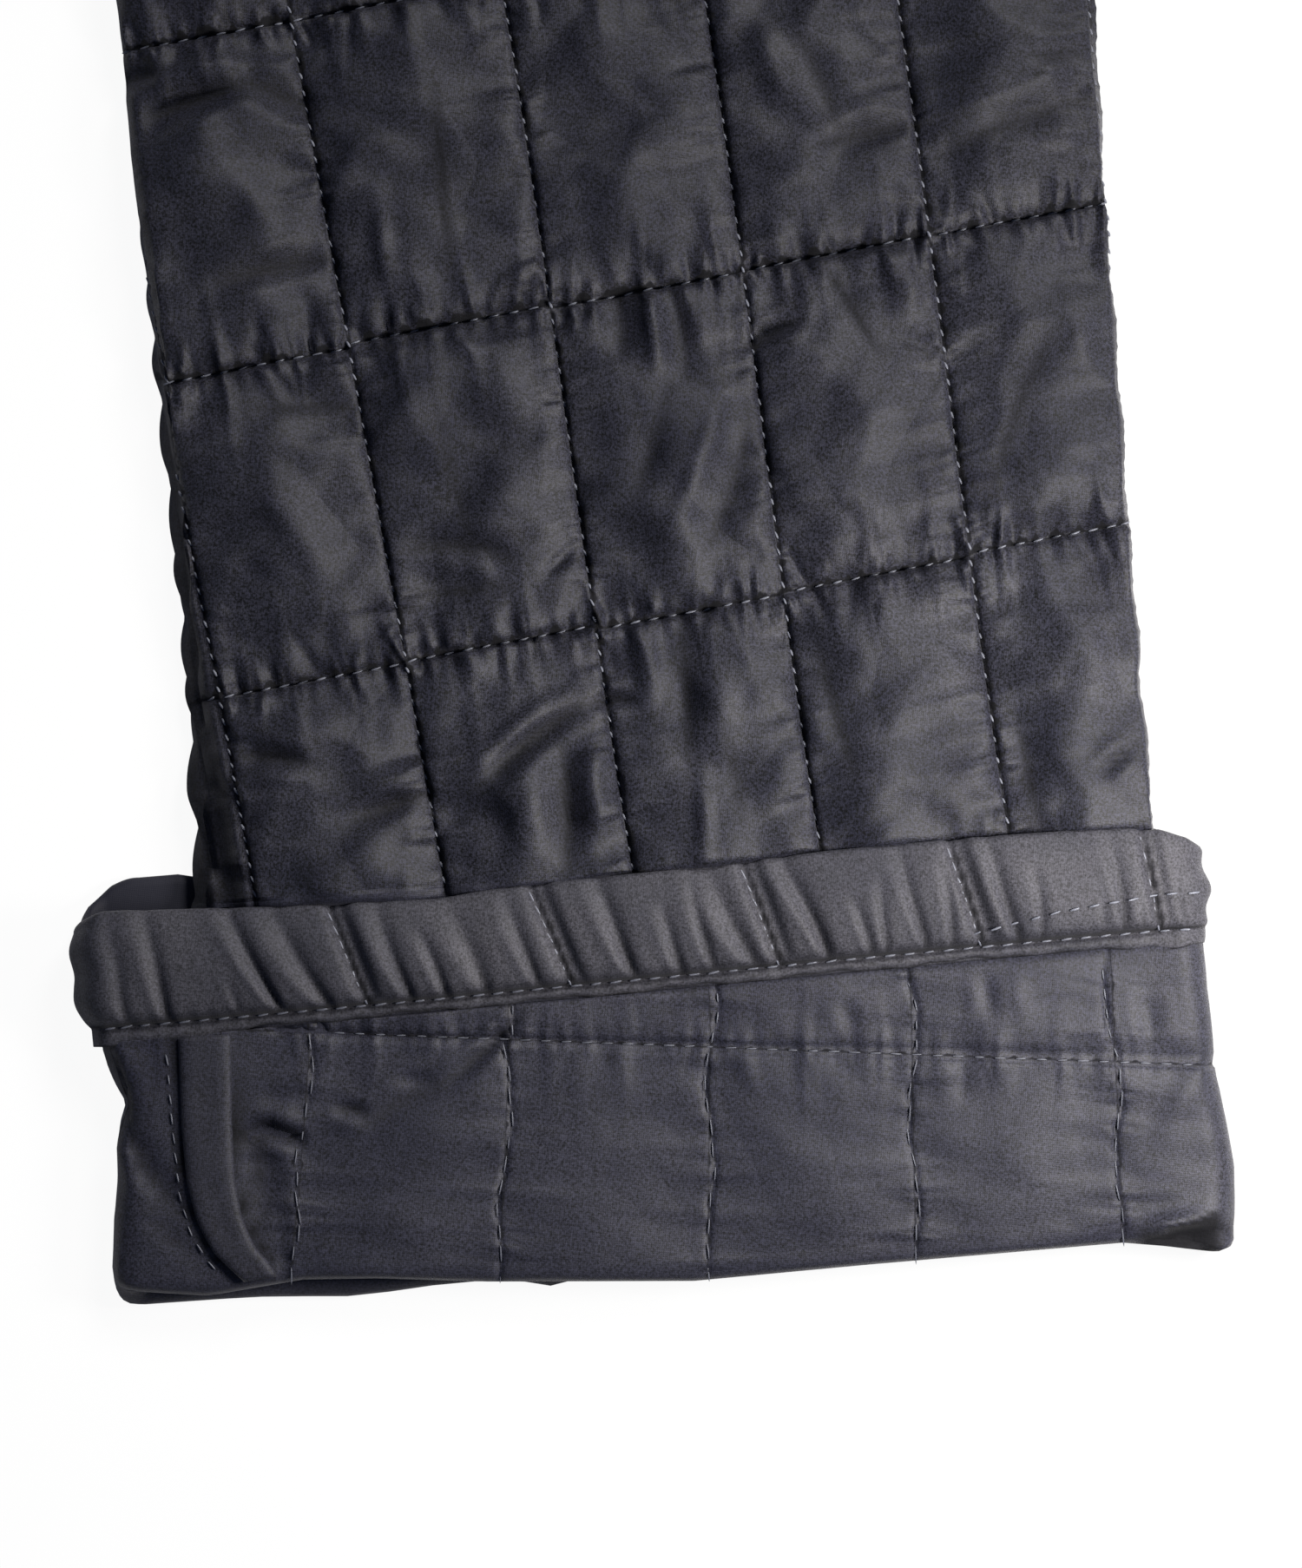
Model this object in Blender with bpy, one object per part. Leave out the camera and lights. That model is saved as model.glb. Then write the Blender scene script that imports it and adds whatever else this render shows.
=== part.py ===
"""Box-quilted jacket, lying flat on its back with both cuffs turned back.

Built in millimetres and scaled to metres. +Z is up, the collar points to +Y, and the wearer's left is +X.
A sleeve is laid out in its own frame: t across, h up the sleeve from the fold of the turned-back cuff, z up.
"""

import math

import bmesh
import bpy
from mathutils import Matrix, Vector

MM = 0.001

# Body panels, seen from above, with the hem at y = 0.
HEM_HALF = 285.0
UNDERARM = Vector((290.0, 370.0))
SHOULDER = Vector((262.0, 640.0))
NECK_POINT = Vector((85.0, 680.0))
BACK_NECK_Y = 662.0
FRONT_NECK_Y = 590.0
ARMHOLE_HOLLOW = 14.0
ARMHOLE_STEPS = 8
NECK_STEPS = 7
PLACKET_HALF = 16.0
JACKET_LENGTH = NECK_POINT.y
# Half way from the hem to the top of the neck binding, where the origin lies.
MIDDLE_Y = 342.9

# Cloth and how closely pieces meet.
WALL = 1.7
SEAM_GAP = 0.3
BACK_THICKNESS = 3.2
FRONT_FLOOR = BACK_THICKNESS + SEAM_GAP
PUFF = 3.0
CUFF_PUFF = 1.3
ROLLED_EDGE = 3.0
EDGE_DROP = 0.7

# The quilting: boxes that are taller than wide.
COLUMN = 28.0
ROW = 48.0
STEPS_IN_ROW = 3
BODY_FIRST_COLUMN = PLACKET_HALF + 10.0
BODY_FIRST_ROW = 20.0

# The sleeve leaves the armhole's middle and points down and out.
SLEEVE_ANGLE = math.radians(50.0)
SLEEVE_LENGTH = 533.0
SLEEVE_TOP = 640.0
GRID_LEAN = 0.117
FIRST_ROW_H = 95.4
BAND_TOP = 58.5

# The sleeve's outer surface: h, left and right edge, underside, and top at the stitch lines.
SLEEVE_SECTIONS = (
    # h, left, right, floor, roof
    (0.0, -79.0, 79.5, 2.1, 6.3),
    (12.0, -77.5, 79.0, 2.1, 6.3),
    (34.0, -72.0, 77.6, 2.2, 6.3),
    (39.5, -71.0, 77.2, 3.3, 7.5),
    (60.0, -66.5, 75.5, 3.3, 7.5),
    (90.0, -66.0, 75.5, 0.0, 4.9),
    (190.0, -68.5, 75.7, 0.0, 4.9),
    (300.0, -75.0, 81.0, 0.0, 5.0),
    (420.0, -84.0, 88.0, 0.0, 5.2),
    (533.0, -94.0, 94.0, 0.0, 5.3),
    (720.0, -110.0, 104.0, 0.0, 5.3),
)
# The turned-back cuff's outer surface.
CUFF_SECTIONS = (
    # h, left, right, floor, roof
    (0.0, -80.6, 80.8, 0.9, 7.5),
    (2.5, -82.2, 82.4, 0.0, 8.2),
    (10.0, -81.7, 83.2, 0.0, 8.3),
    (23.0, -81.2, 81.5, 0.0, 8.3),
    (45.0, -81.6, 80.8, 0.0, 8.3),
)
# The gathered hem's outer surface.
BAND_SECTIONS = (
    # h, left, right, floor, roof
    (40.0, -82.6, 81.0, 0.0, 9.6),
    (50.0, -84.4, 81.8, 0.0, 9.6),
    (60.0, -84.0, 81.2, 0.0, 9.6),
)
BAND_INNER_FLOOR = 3.0
BAND_INNER_ROOF = 7.8
# Where the first stitched column line lies across the sleeve, and the width of a column there.
SLEEVE_COLUMNS = (
    # h, first, width
    (0.0, -55.7, 30.4),
    (60.0, -57.0, 27.6),
    (187.0, -72.4, 29.2),
    (720.0, -115.0, 29.2),
)
CUFF_COLUMNS = (
    # h, first, width
    (0.0, -55.7, 30.4),
    (35.0, -50.8, 29.4),
    (60.0, -50.0, 29.4),
)
CUFF_LINE_H = 33.3
CUFF_LINE_LEAN = -0.107
CUFF_EDGE_H = 41.2
CUFF_EDGE_LEAN = 0.024
CUFF_FLAT_LEFT = -54.0
# The rings down the cuff's face from its edge to the fold.
CUFF_RINGS = (
    # h in the middle, lean, least distance from the edge
    (CUFF_EDGE_H, CUFF_EDGE_LEAN, 0.0),
    (CUFF_LINE_H + 3.2, -0.05, 1.0),
    (CUFF_LINE_H, CUFF_LINE_LEAN, 2.2),
    (25.0, -0.08, 5.0),
    (13.0, -0.04, 10.0),
    (2.5, 0.0, 20.0),
    (0.5, 0.0, 22.0),
)

# Where the rings carry points, in columns from the first line: on each line and a little to both sides of it.
COLUMN_SHARES = (0.0, 0.16, 0.84)
RING_PLACES = tuple(column + share for column in range(-1, 8) for share in COLUMN_SHARES)
# Steps that settle where a column line crosses a leaning ring.
COLUMN_STEPS = 3
EDGE_STACK = 0.6
SIDE_TURNS = (45.0, 0.0, -45.0)
BAND_SIDE_TURNS = (90.0, 45.0, 0.0, -45.0, -90.0)
UNDER_SHARES = (0.25, 0.5, 0.75)
EDGE_SWELL = 1.0

# Broad soft folds, in the sleeve's frame: where the middle is, which way it runs, its size, and how far it rises.
SLEEVE_FOLDS = (
    # t, h, turned, half length, half width, rise
    (-46.0, 470.0, 62.0, 70.0, 13.0, 2.2),
    (-30.0, 430.0, 48.0, 60.0, 12.0, 1.8),
    (34.0, 300.0, 12.0, 46.0, 12.0, 1.6),
    (-24.0, 262.0, -16.0, 40.0, 11.0, 1.5),
    (20.0, 214.0, 8.0, 42.0, 11.0, 1.2),
)
BODY_FOLDS = (
    # x, y, turned, half length, half width, rise
    (228.0, 352.0, 24.0, 74.0, 14.0, 2.4),
    (214.0, 300.0, 12.0, 66.0, 13.0, 1.8),
    (150.0, 520.0, -58.0, 70.0, 14.0, 1.6),
    (112.0, 150.0, 82.0, 84.0, 15.0, 1.6),
)

# The gathered hem: the widths of its gathers in turn, their slant and their height.
GATHER_WIDTHS = (5.2, 7.4, 6.1, 8.3, 5.7, 6.8, 4.9)
GATHER_SLANT = 0.5
GATHER_RISE = 1.5
# The hem's rings from its lower edge inside, over the top and down its face.
BAND_RINGS = (
    # share of the height, outer, rise of the face, share of the gathers
    (0.00, False, 0.0, 0.0),
    (0.96, False, 0.0, 0.0),
    (1.00, True, -0.6, 0.1),
    (0.90, True, 0.9, 0.8),
    (0.55, True, 1.5, 1.0),
    (0.20, True, 1.0, 0.8),
    (0.11, True, 0.0, 0.1),
    (0.00, True, 0.2, 0.1),
)

# The strip of seam allowance on the cuff: its two edges.
SEAM_STRIP = (
    # h, left, right
    (1.8, -63.0, -56.8),
    (7.0, -65.6, -59.9),
    (12.8, -67.4, -61.7),
    (25.6, -68.8, -62.5),
    (39.3, -68.8, -61.8),
)
STRIP_THICKNESS = 1.3

BINDING_WIDTH = 6.0
BINDING_ROLL = 1.2
FRONT_BINDING_TOP = 7.6
PLACKET_TOP = 7.0
PLACKET_ROLL = 1.2
SNAP_COUNT = 5
SNAP_FIRST_Y = 62.0
SNAP_STEP = 122.0
SNAP_RADIUS = 7.5
SNAP_PROFILE = (
    # radius share, height above the placket
    (1.0, 0.0),
    (1.0, 0.8),
    (0.86, 1.5),
    (0.6, 1.6),
    (0.52, 2.1),
    (0.3, 2.4),
)
SNAP_SIDES = 12

NYLON = (0.040, 0.040, 0.052)
NYLON_INSIDE = (0.056, 0.056, 0.070)
SNAP_COLOUR = (0.03, 0.03, 0.036)


def material(name, colour, roughness):
    """A plain Principled finish."""
    made = bpy.data.materials.new(name)
    made.use_nodes = True
    shader = made.node_tree.nodes["Principled BSDF"]
    shader.inputs["Base Color"].default_value = (*colour, 1.0)
    shader.inputs["Roughness"].default_value = roughness
    made.diffuse_color = (*colour, 1.0)
    return made


def along(table, h):
    """The other columns of a table at h, read between its rows."""
    if h <= table[0][0]:
        return table[0][1:]
    for low, high in zip(table, table[1:]):
        if h <= high[0]:
            share = (h - low[0]) / (high[0] - low[0])
            return tuple(a + share * (b - a) for a, b in zip(low[1:], high[1:]))
    return table[-1][1:]


def ramp(value, low, high):
    """A smooth step from 0 at low to 1 at high."""
    share = min(1.0, max(0.0, (value - low) / (high - low)))
    return share * share * (3.0 - 2.0 * share)


def pillow(share):
    """The puff across one box, 0 on its stitch lines and 1 in its middle."""
    place = share - math.floor(share)
    return (4.0 * place * (1.0 - place)) ** 0.55


def fold_rise(folds, x, y):
    """How far the broad folds lift the cloth at a point."""
    rise = 0.0
    for fold_x, fold_y, turned, half_length, half_width, height in folds:
        turn = math.radians(turned)
        run = (x - fold_x) * math.cos(turn) + (y - fold_y) * math.sin(turn)
        across = (y - fold_y) * math.cos(turn) - (x - fold_x) * math.sin(turn)
        rise += height * math.exp(-((run / half_length) ** 2) - (across / half_width) ** 2)
    return rise


def sleeve_row(t, h):
    """Which quilted row a point of the sleeve lies in, counted in rows."""
    return (h - GRID_LEAN * t - FIRST_ROW_H) / ROW


def sleeve_outer(h, t=0.0):
    """The sleeve's outer section, with its sides swollen between the rows."""
    left, right, floor, roof = along(SLEEVE_SECTIONS, h)
    swell = EDGE_SWELL * ramp(h, BAND_TOP, 90.0) * pillow(sleeve_row(t, h))
    return left - swell, right + swell, floor, roof


def sleeve_inner(h, t=0.0):
    left, right, floor, roof = along(SLEEVE_SECTIONS, h)
    return left + WALL, right - WALL, floor + WALL, roof - WALL


def cuff_outer(h, t=0.0):
    return along(CUFF_SECTIONS, h)


def cuff_inner(h, t=0.0):
    left, right, floor, roof = along(CUFF_SECTIONS, max(h, 2.5))
    return left + WALL, right - WALL, floor + WALL, roof - WALL


def no_relief(t, h):
    return 0.0


def sleeve_relief(t, h):
    """The quilted puff and the folds of the sleeve's top, gone where the cuff covers it."""
    first, width = along(SLEEVE_COLUMNS, h)
    puff = PUFF * pillow((t - first) / width) * pillow(sleeve_row(t, h))
    left, right, floor, roof = along(SLEEVE_SECTIONS, h)
    rim = ramp(t - left, 2.0, 12.0) * ramp(right - t, 2.0, 12.0)
    return (puff + fold_rise(SLEEVE_FOLDS, t, h)) * rim * ramp(h, BAND_TOP + 2.0, 76.0)


def cuff_relief(t, h):
    """The flatter puff of the turned-back side, level where the seam allowance lies."""
    first, width = along(CUFF_COLUMNS, h)
    line = CUFF_LINE_H + CUFF_LINE_LEAN * t
    rise = (h / line) * 0.86 + 0.07 if h < line else 0.5 + 0.5 * (h - line) / (CUFF_EDGE_H + 4.0 - line)
    left, right, floor, roof = along(CUFF_SECTIONS, h)
    rim = ramp(t, CUFF_FLAT_LEFT, CUFF_FLAT_LEFT + 10.0) * ramp(right - t, 4.0, 12.0)
    return CUFF_PUFF * pillow((t - first) / width) * pillow(min(rise, 0.999)) * rim


def add_ring(bm, h_middle, lean, section, columns, relief, short_of_edge=None):
    """One ring of points round the flattened tube, in a leaning upright plane, kept short of the cuff's edge."""
    left, right, floor, roof = section(h_middle)
    left = section(h_middle + lean * left, left)[0]
    right = section(h_middle + lean * right, right)[1]
    radius = (roof - floor) / 2.0
    count = len(RING_PLACES)
    ring = []

    def add(t, over=None, turn=None):
        h = h_middle + lean * t
        if short_of_edge is not None:
            h = min(h, CUFF_EDGE_H + CUFF_EDGE_LEAN * t - short_of_edge)
        low, high = section(h)[2:]
        middle, half = (low + high) / 2.0, (high - low) / 2.0
        if over is not None:
            z = high + relief(t, h) if over else low
        else:
            z = middle + half * math.sin(turn)
        ring.append(bm.verts.new((t, h, z)))

    for place, column in enumerate(RING_PLACES):
        lowest = left + radius + EDGE_STACK * place
        highest = right - radius - EDGE_STACK * (count - 1 - place)
        t = 0.0
        for _ in range(COLUMN_STEPS):
            first, width = along(columns, h_middle + lean * t)
            t = first + column * width
        add(min(max(t, lowest), highest), over=True)
    for degrees in SIDE_TURNS:
        turn = math.radians(degrees)
        add(right - radius + radius * math.cos(turn), turn=turn)
    for share in UNDER_SHARES:
        add(right - radius - share * (right - left - 2.0 * radius), over=False)
    for degrees in reversed(SIDE_TURNS):
        turn = math.radians(degrees)
        add(left + radius - radius * math.cos(turn), turn=turn)
    return ring


def join_rings(bm, rings):
    """Quads between each ring and the next, and from the last back to the first."""
    for ring, following in zip(rings, rings[1:] + rings[:1]):
        count = len(ring)
        for place in range(count):
            after = (place + 1) % count
            bm.faces.new((ring[place], ring[after], following[after], following[place]))
    bmesh.ops.recalc_face_normals(bm, faces=bm.faces)


def sleeve_mesh():
    """The sleeve as one wall: down its outside, back up inside the cuff, over the edge, and back inside."""
    bm = bmesh.new()
    rings = []
    step = ROW / STEPS_IN_ROW
    rows = int((SLEEVE_TOP - FIRST_ROW_H) / step)
    for place in range(rows, -2, -1):
        h = FIRST_ROW_H + place * step
        rings.append(add_ring(bm, h, GRID_LEAN, sleeve_outer, SLEEVE_COLUMNS, sleeve_relief))
    for h in (60.0, 39.5, 34.0, 2.6):
        rings.append(add_ring(bm, h, 0.0, sleeve_outer, SLEEVE_COLUMNS, no_relief))
    for h, lean in ((2.6, 0.0), (34.0, 0.0), (CUFF_EDGE_H, CUFF_EDGE_LEAN)):
        rings.append(add_ring(bm, h, lean, cuff_inner, CUFF_COLUMNS, no_relief))
    for h, lean, short in CUFF_RINGS:
        rings.append(add_ring(bm, h, lean, cuff_outer, CUFF_COLUMNS, cuff_relief, short))
    for h, inward in ((0.0, 1.5), (1.0, 0.0)):
        rings.append(add_ring(bm, h, 0.0, fold_section(inward), CUFF_COLUMNS, no_relief))
    for h in (6.0, 34.0, 39.5, 60.0, 90.0, 300.0, SLEEVE_LENGTH, SLEEVE_TOP - 2.0):
        lean = GRID_LEAN if h > 90.0 else 0.0
        rings.append(add_ring(bm, h, lean, sleeve_inner, SLEEVE_COLUMNS, no_relief))
    join_rings(bm, rings)
    return bm


def fold_section(inward):
    """The rounded end of the fold, between the cuff's face and the sleeve's inside."""

    def section(h, t=0.0):
        left, right, floor, roof = sleeve_inner(0.0)
        return left - inward, right + inward, floor - inward, roof + inward

    return section


def gather_points(left, right):
    """Places across the hem's face: (t, height share) for the valley, slope and crest of each gather."""
    places = []
    t = left
    turn = 0
    while t + max(GATHER_WIDTHS) < right:
        width = GATHER_WIDTHS[turn % len(GATHER_WIDTHS)]
        places += [(t, 0.0), (t + 0.35 * width, 0.8), (t + 0.68 * width, 1.0)]
        t += width
        turn += 1
    places.append((t, 0.0))
    return places


def band_mesh():
    """The gathered hem as a closed ring round the sleeve, its underside flat."""
    bm = bmesh.new()
    rings = []
    left, right = along(BAND_SECTIONS, 50.0)[:2]
    gathers = gather_points(left + 8.0, right - 8.0)
    lower = CUFF_EDGE_H + 0.4
    for share, outer, face_rise, gathered in BAND_RINGS:
        ring = []
        middle_h = lower + share * (BAND_TOP - lower)
        edge_left, edge_right, floor, roof = along(BAND_SECTIONS, middle_h)
        roof += face_rise
        floor += 0.8 if outer and share == 1.0 else 0.0
        if not outer:
            edge_left, edge_right = edge_left + 2.6, edge_right - 2.6
            floor, roof = BAND_INNER_FLOOR, BAND_INNER_ROOF
        radius = (roof - floor) / 2.0
        middle = (roof + floor) / 2.0

        def h_at(t):
            return middle_h + CUFF_EDGE_LEAN * t * (1.0 - share)

        for t, height in gathers:
            reach = ramp(t - left, 6.0, 26.0) * ramp(right - t, 6.0, 26.0)
            place = t + GATHER_SLANT * (0.5 - share) * (BAND_TOP - lower) * reach
            z = roof + gathered * GATHER_RISE * (height - 0.55)
            ring.append(bm.verts.new((place, h_at(place), z)))
        for degrees in BAND_SIDE_TURNS:
            turn = math.radians(degrees)
            t = edge_right - radius + radius * math.cos(turn)
            ring.append(bm.verts.new((t, h_at(t), middle + radius * math.sin(turn))))
        for place in range(1, 6):
            t = edge_right - radius - place / 6.0 * (edge_right - edge_left - 2.0 * radius)
            ring.append(bm.verts.new((t, h_at(t), floor)))
        for degrees in reversed(BAND_SIDE_TURNS):
            turn = math.radians(degrees)
            t = edge_left + radius - radius * math.cos(turn)
            ring.append(bm.verts.new((t, h_at(t), middle + radius * math.sin(turn))))
        rings.append(ring)
    join_rings(bm, rings)
    return bm


def strip_mesh():
    """The seam allowance: the cuff's own surface between two edges, moved out."""
    bm = bmesh.new()
    loops = []
    for h, left, right in SEAM_STRIP:
        base = cuff_outer(h)[3] + SEAM_GAP
        top = base + STRIP_THICKNESS
        middle = (left + right) / 2.0
        corners = (
            (left, base),
            (right, base),
            (right, top - 0.4),
            (right - 0.8, top),
            (middle, top + 0.2),
            (left + 0.8, top),
            (left, top - 0.4),
        )
        loops.append([bm.verts.new((t, h, z)) for t, z in corners])
    for loop, following in zip(loops, loops[1:]):
        for place in range(len(loop)):
            after = (place + 1) % len(loop)
            bm.faces.new((loop[place], loop[after], following[after], following[place]))
    bm.faces.new(loops[0])
    bm.faces.new(loops[-1])
    bmesh.ops.recalc_face_normals(bm, faces=bm.faces)
    return bm


def arc_between(start, end, hollow, steps):
    """Points from start to end, pushed to the left of the way there by hollow in the middle."""
    run = end - start
    side = Vector((-run.y, run.x)).normalized()
    points = []
    for place in range(steps + 1):
        share = place / steps
        points.append(start + run * share + side * hollow * 4.0 * share * (1.0 - share))
    return points


def armhole(offset):
    """The armhole from the underarm to the shoulder, moved towards the body by offset."""
    run = SHOULDER - UNDERARM
    side = Vector((-run.y, run.x)).normalized()
    return [point + side * offset for point in arc_between(UNDERARM, SHOULDER, ARMHOLE_HOLLOW, ARMHOLE_STEPS)]


def front_neck():
    """The front neckline from the shoulder's neck point down to the placket."""
    end = Vector((PLACKET_HALF + SEAM_GAP, FRONT_NECK_Y))
    points = []
    for place in range(NECK_STEPS + 1):
        turn = math.pi / 2.0 * place / NECK_STEPS
        x = end.x + (NECK_POINT.x - end.x) * math.cos(turn)
        y = NECK_POINT.y - (NECK_POINT.y - end.y) * math.sin(turn)
        points.append(Vector((x, y)))
    return points


def back_neck():
    """The back neckline from the left neck point to the right one."""
    points = []
    for place in range(-NECK_STEPS, NECK_STEPS + 1):
        share = place / NECK_STEPS
        drop = (NECK_POINT.y - BACK_NECK_Y) * (1.0 - share * share)
        points.append(Vector((-NECK_POINT.x * share, NECK_POINT.y - drop)))
    return points


def body_relief(x, y):
    """The quilted puff and folds of a front panel."""
    column = (x - BODY_FIRST_COLUMN) / COLUMN
    row = (y - BODY_FIRST_ROW) / ROW
    return PUFF * pillow(column) * pillow(row) + fold_rise(BODY_FOLDS, x, y)


def close_below(bm, floor):
    """Walls down from the open edges of a sheet, and one flat face under it."""
    rim = [edge for edge in bm.edges if edge.is_boundary]
    made = bmesh.ops.extrude_edge_only(bm, edges=rim)["geom"]
    low = [item for item in made if isinstance(item, bmesh.types.BMVert)]
    for vert in low:
        vert.co.z = floor
    rim = [edge for edge in bm.edges if edge.is_boundary]
    bmesh.ops.contextual_create(bm, geom=rim)
    bmesh.ops.recalc_face_normals(bm, faces=bm.faces)


def front_mesh():
    """A front panel: its outline, rolled at the edge, cut along the quilting grid and puffed between the lines."""
    bm = bmesh.new()
    outline = [Vector((PLACKET_HALF + SEAM_GAP, 0.0)), Vector((HEM_HALF, 0.0))]
    outline += armhole(SEAM_GAP / 2.0)
    outline += front_neck()
    stitched = FRONT_FLOOR + WALL
    face = bm.faces.new([bm.verts.new((point.x, point.y, stitched)) for point in outline])
    bmesh.ops.inset_region(bm, faces=[face], thickness=ROLLED_EDGE, use_even_offset=True, use_boundary=True)
    for column in range(int(HEM_HALF / COLUMN)):
        for share in COLUMN_SHARES:
            across = BODY_FIRST_COLUMN + (column + share) * COLUMN
            cut_along(bm, Vector((across, 0.0, 0.0)), Vector((1.0, 0.0, 0.0)))
    for third in range(-1, int(STEPS_IN_ROW * JACKET_LENGTH / ROW)):
        height = BODY_FIRST_ROW + third * ROW / STEPS_IN_ROW
        cut_along(bm, Vector((0.0, height, 0.0)), Vector((0.0, 1.0, 0.0)))
    rim = {vert for edge in bm.edges if edge.is_boundary for vert in edge.verts}
    inner = [vert for vert in bm.verts if vert not in rim]
    for vert in inner:
        vert.co.z = stitched + body_relief(vert.co.x, vert.co.y) * edge_share(vert, rim)
    for vert in rim:
        vert.co.z = stitched - EDGE_DROP
    close_below(bm, FRONT_FLOOR)
    return bm


def edge_share(vert, rim):
    """Less puff for a point that is joined straight to the rim."""
    touching = any(edge.other_vert(vert) in rim for edge in vert.link_edges)
    return 0.35 if touching else 1.0


def cut_along(bm, point, normal):
    """Cuts every face of the sheet along one line of the grid."""
    geometry = bm.verts[:] + bm.edges[:] + bm.faces[:]
    bmesh.ops.bisect_plane(bm, geom=geometry, dist=1e-4, plane_co=point, plane_no=normal)


def slab(outline, floor, top, roll):
    """A flat piece with rolled upper edges."""
    bm = bmesh.new()
    face = bm.faces.new([bm.verts.new((point.x, point.y, top)) for point in outline])
    bmesh.ops.inset_region(bm, faces=[face], thickness=roll, use_even_offset=True, use_boundary=True)
    for edge in bm.edges:
        if edge.is_boundary:
            for vert in edge.verts:
                vert.co.z = top - roll * 0.6
    close_below(bm, floor)
    return bm


def back_mesh():
    """The back panel, plain and flat."""
    half = armhole(SEAM_GAP / 2.0)
    outline = [Vector((HEM_HALF, 0.0))] + half + back_neck()
    outline += [Vector((-point.x, point.y)) for point in reversed(half)]
    outline.append(Vector((-HEM_HALF, 0.0)))
    return slab(outline, 0.0, BACK_THICKNESS, 1.0)


def strip_along(path, width, floor, top, roll):
    """A strip that lies along the left of a path, 0.3 mm off it."""
    near, far = [], []
    for place, point in enumerate(path):
        before = path[max(place - 1, 0)]
        after = path[min(place + 1, len(path) - 1)]
        run = (after - before).normalized()
        side = Vector((run.y, -run.x))
        for row, off in ((near, SEAM_GAP), (far, SEAM_GAP + width)):
            lying = point + side * off
            row.append(Vector((max(lying.x, path[-1].x), lying.y)))
    return slab(near + far[::-1], floor, top, roll)


def front_binding_mesh():
    """The binding of one front neckline, from the shoulder to the placket."""
    return strip_along(front_neck(), BINDING_WIDTH, FRONT_FLOOR, FRONT_BINDING_TOP, BINDING_ROLL)


def back_binding_mesh():
    """The binding of the back neckline."""
    return strip_along(back_neck(), BINDING_WIDTH, 0.0, BACK_THICKNESS, BINDING_ROLL)


def placket_mesh():
    """The closing strip between the fronts."""
    top = FRONT_NECK_Y + BINDING_WIDTH
    corners = ((-PLACKET_HALF, 0.0), (PLACKET_HALF, 0.0), (PLACKET_HALF, top), (-PLACKET_HALF, top))
    return slab([Vector(corner) for corner in corners], FRONT_FLOOR, PLACKET_TOP, PLACKET_ROLL)


def snap_mesh(y):
    """One domed snap button on the placket."""
    bm = bmesh.new()
    base = PLACKET_TOP + SEAM_GAP
    loops = []
    for share, height in SNAP_PROFILE:
        loop = []
        for side in range(SNAP_SIDES):
            turn = 2.0 * math.pi * side / SNAP_SIDES
            x = SNAP_RADIUS * share * math.cos(turn)
            loop.append(bm.verts.new((x, y + SNAP_RADIUS * share * math.sin(turn), base + height)))
        loops.append(loop)
    for loop, following in zip(loops, loops[1:]):
        for place in range(SNAP_SIDES):
            after = (place + 1) % SNAP_SIDES
            bm.faces.new((loop[place], loop[after], following[after], following[place]))
    bm.faces.new(loops[0])
    bm.faces.new(loops[-1])
    bmesh.ops.recalc_face_normals(bm, faces=bm.faces)
    return bm


def sleeve_frame():
    """The matrix that lays a sleeve's own frame on the jacket."""
    down = Vector((math.sin(SLEEVE_ANGLE), -math.cos(SLEEVE_ANGLE), 0.0))
    across = Vector((-down.y, down.x, 0.0))
    middle = (UNDERARM + SHOULDER) / 2.0
    fold = middle.to_3d() + down * SLEEVE_LENGTH
    frame = Matrix.Identity(4)
    frame.col[0] = across.to_4d()
    frame.col[1] = (-down).to_4d()
    frame.col[0][3] = 0.0
    frame.col[1][3] = 0.0
    frame.col[3] = (fold.x, fold.y, 0.0, 1.0)
    return frame


def add_object(name, bm, finish, side=1, frame=None, smooth=40.0):
    """Places a mesh in the jacket, mirrored for the right side, in metres."""
    if frame is not None:
        bmesh.ops.transform(bm, matrix=frame, verts=bm.verts)
    bmesh.ops.translate(bm, vec=(0.0, -MIDDLE_Y, 0.0), verts=bm.verts)
    bmesh.ops.scale(bm, vec=(MM * side, MM, MM), verts=bm.verts)
    if side < 0:
        bmesh.ops.reverse_faces(bm, faces=bm.faces)
    mesh = bpy.data.meshes.new(name)
    bm.to_mesh(mesh)
    bm.free()
    mesh.materials.append(finish)
    mesh.shade_smooth()
    mesh.set_sharp_from_angle(angle=math.radians(smooth))
    made = bpy.data.objects.new(name, mesh)
    bpy.context.scene.collection.objects.link(made)
    return made


def armhole_cutter():
    """A block over the body side of the armhole, which trims the sleeve to its seam."""
    bm = bmesh.new()
    edge = armhole(-SEAM_GAP / 2.0)
    first = edge[0] + (edge[0] - edge[1]) * 1.5
    last = edge[-1] + (edge[-1] - edge[-2]) * 1.5
    outline = [first] + edge + [last, Vector((60.0, last.y)), Vector((60.0, first.y))]
    face = bm.faces.new([bm.verts.new((point.x, point.y, -20.0)) for point in outline])
    made = bmesh.ops.extrude_face_region(bm, geom=[face])["geom"]
    for item in made:
        if isinstance(item, bmesh.types.BMVert):
            item.co.z = 40.0
    bmesh.ops.recalc_face_normals(bm, faces=bm.faces)
    return bm


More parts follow.
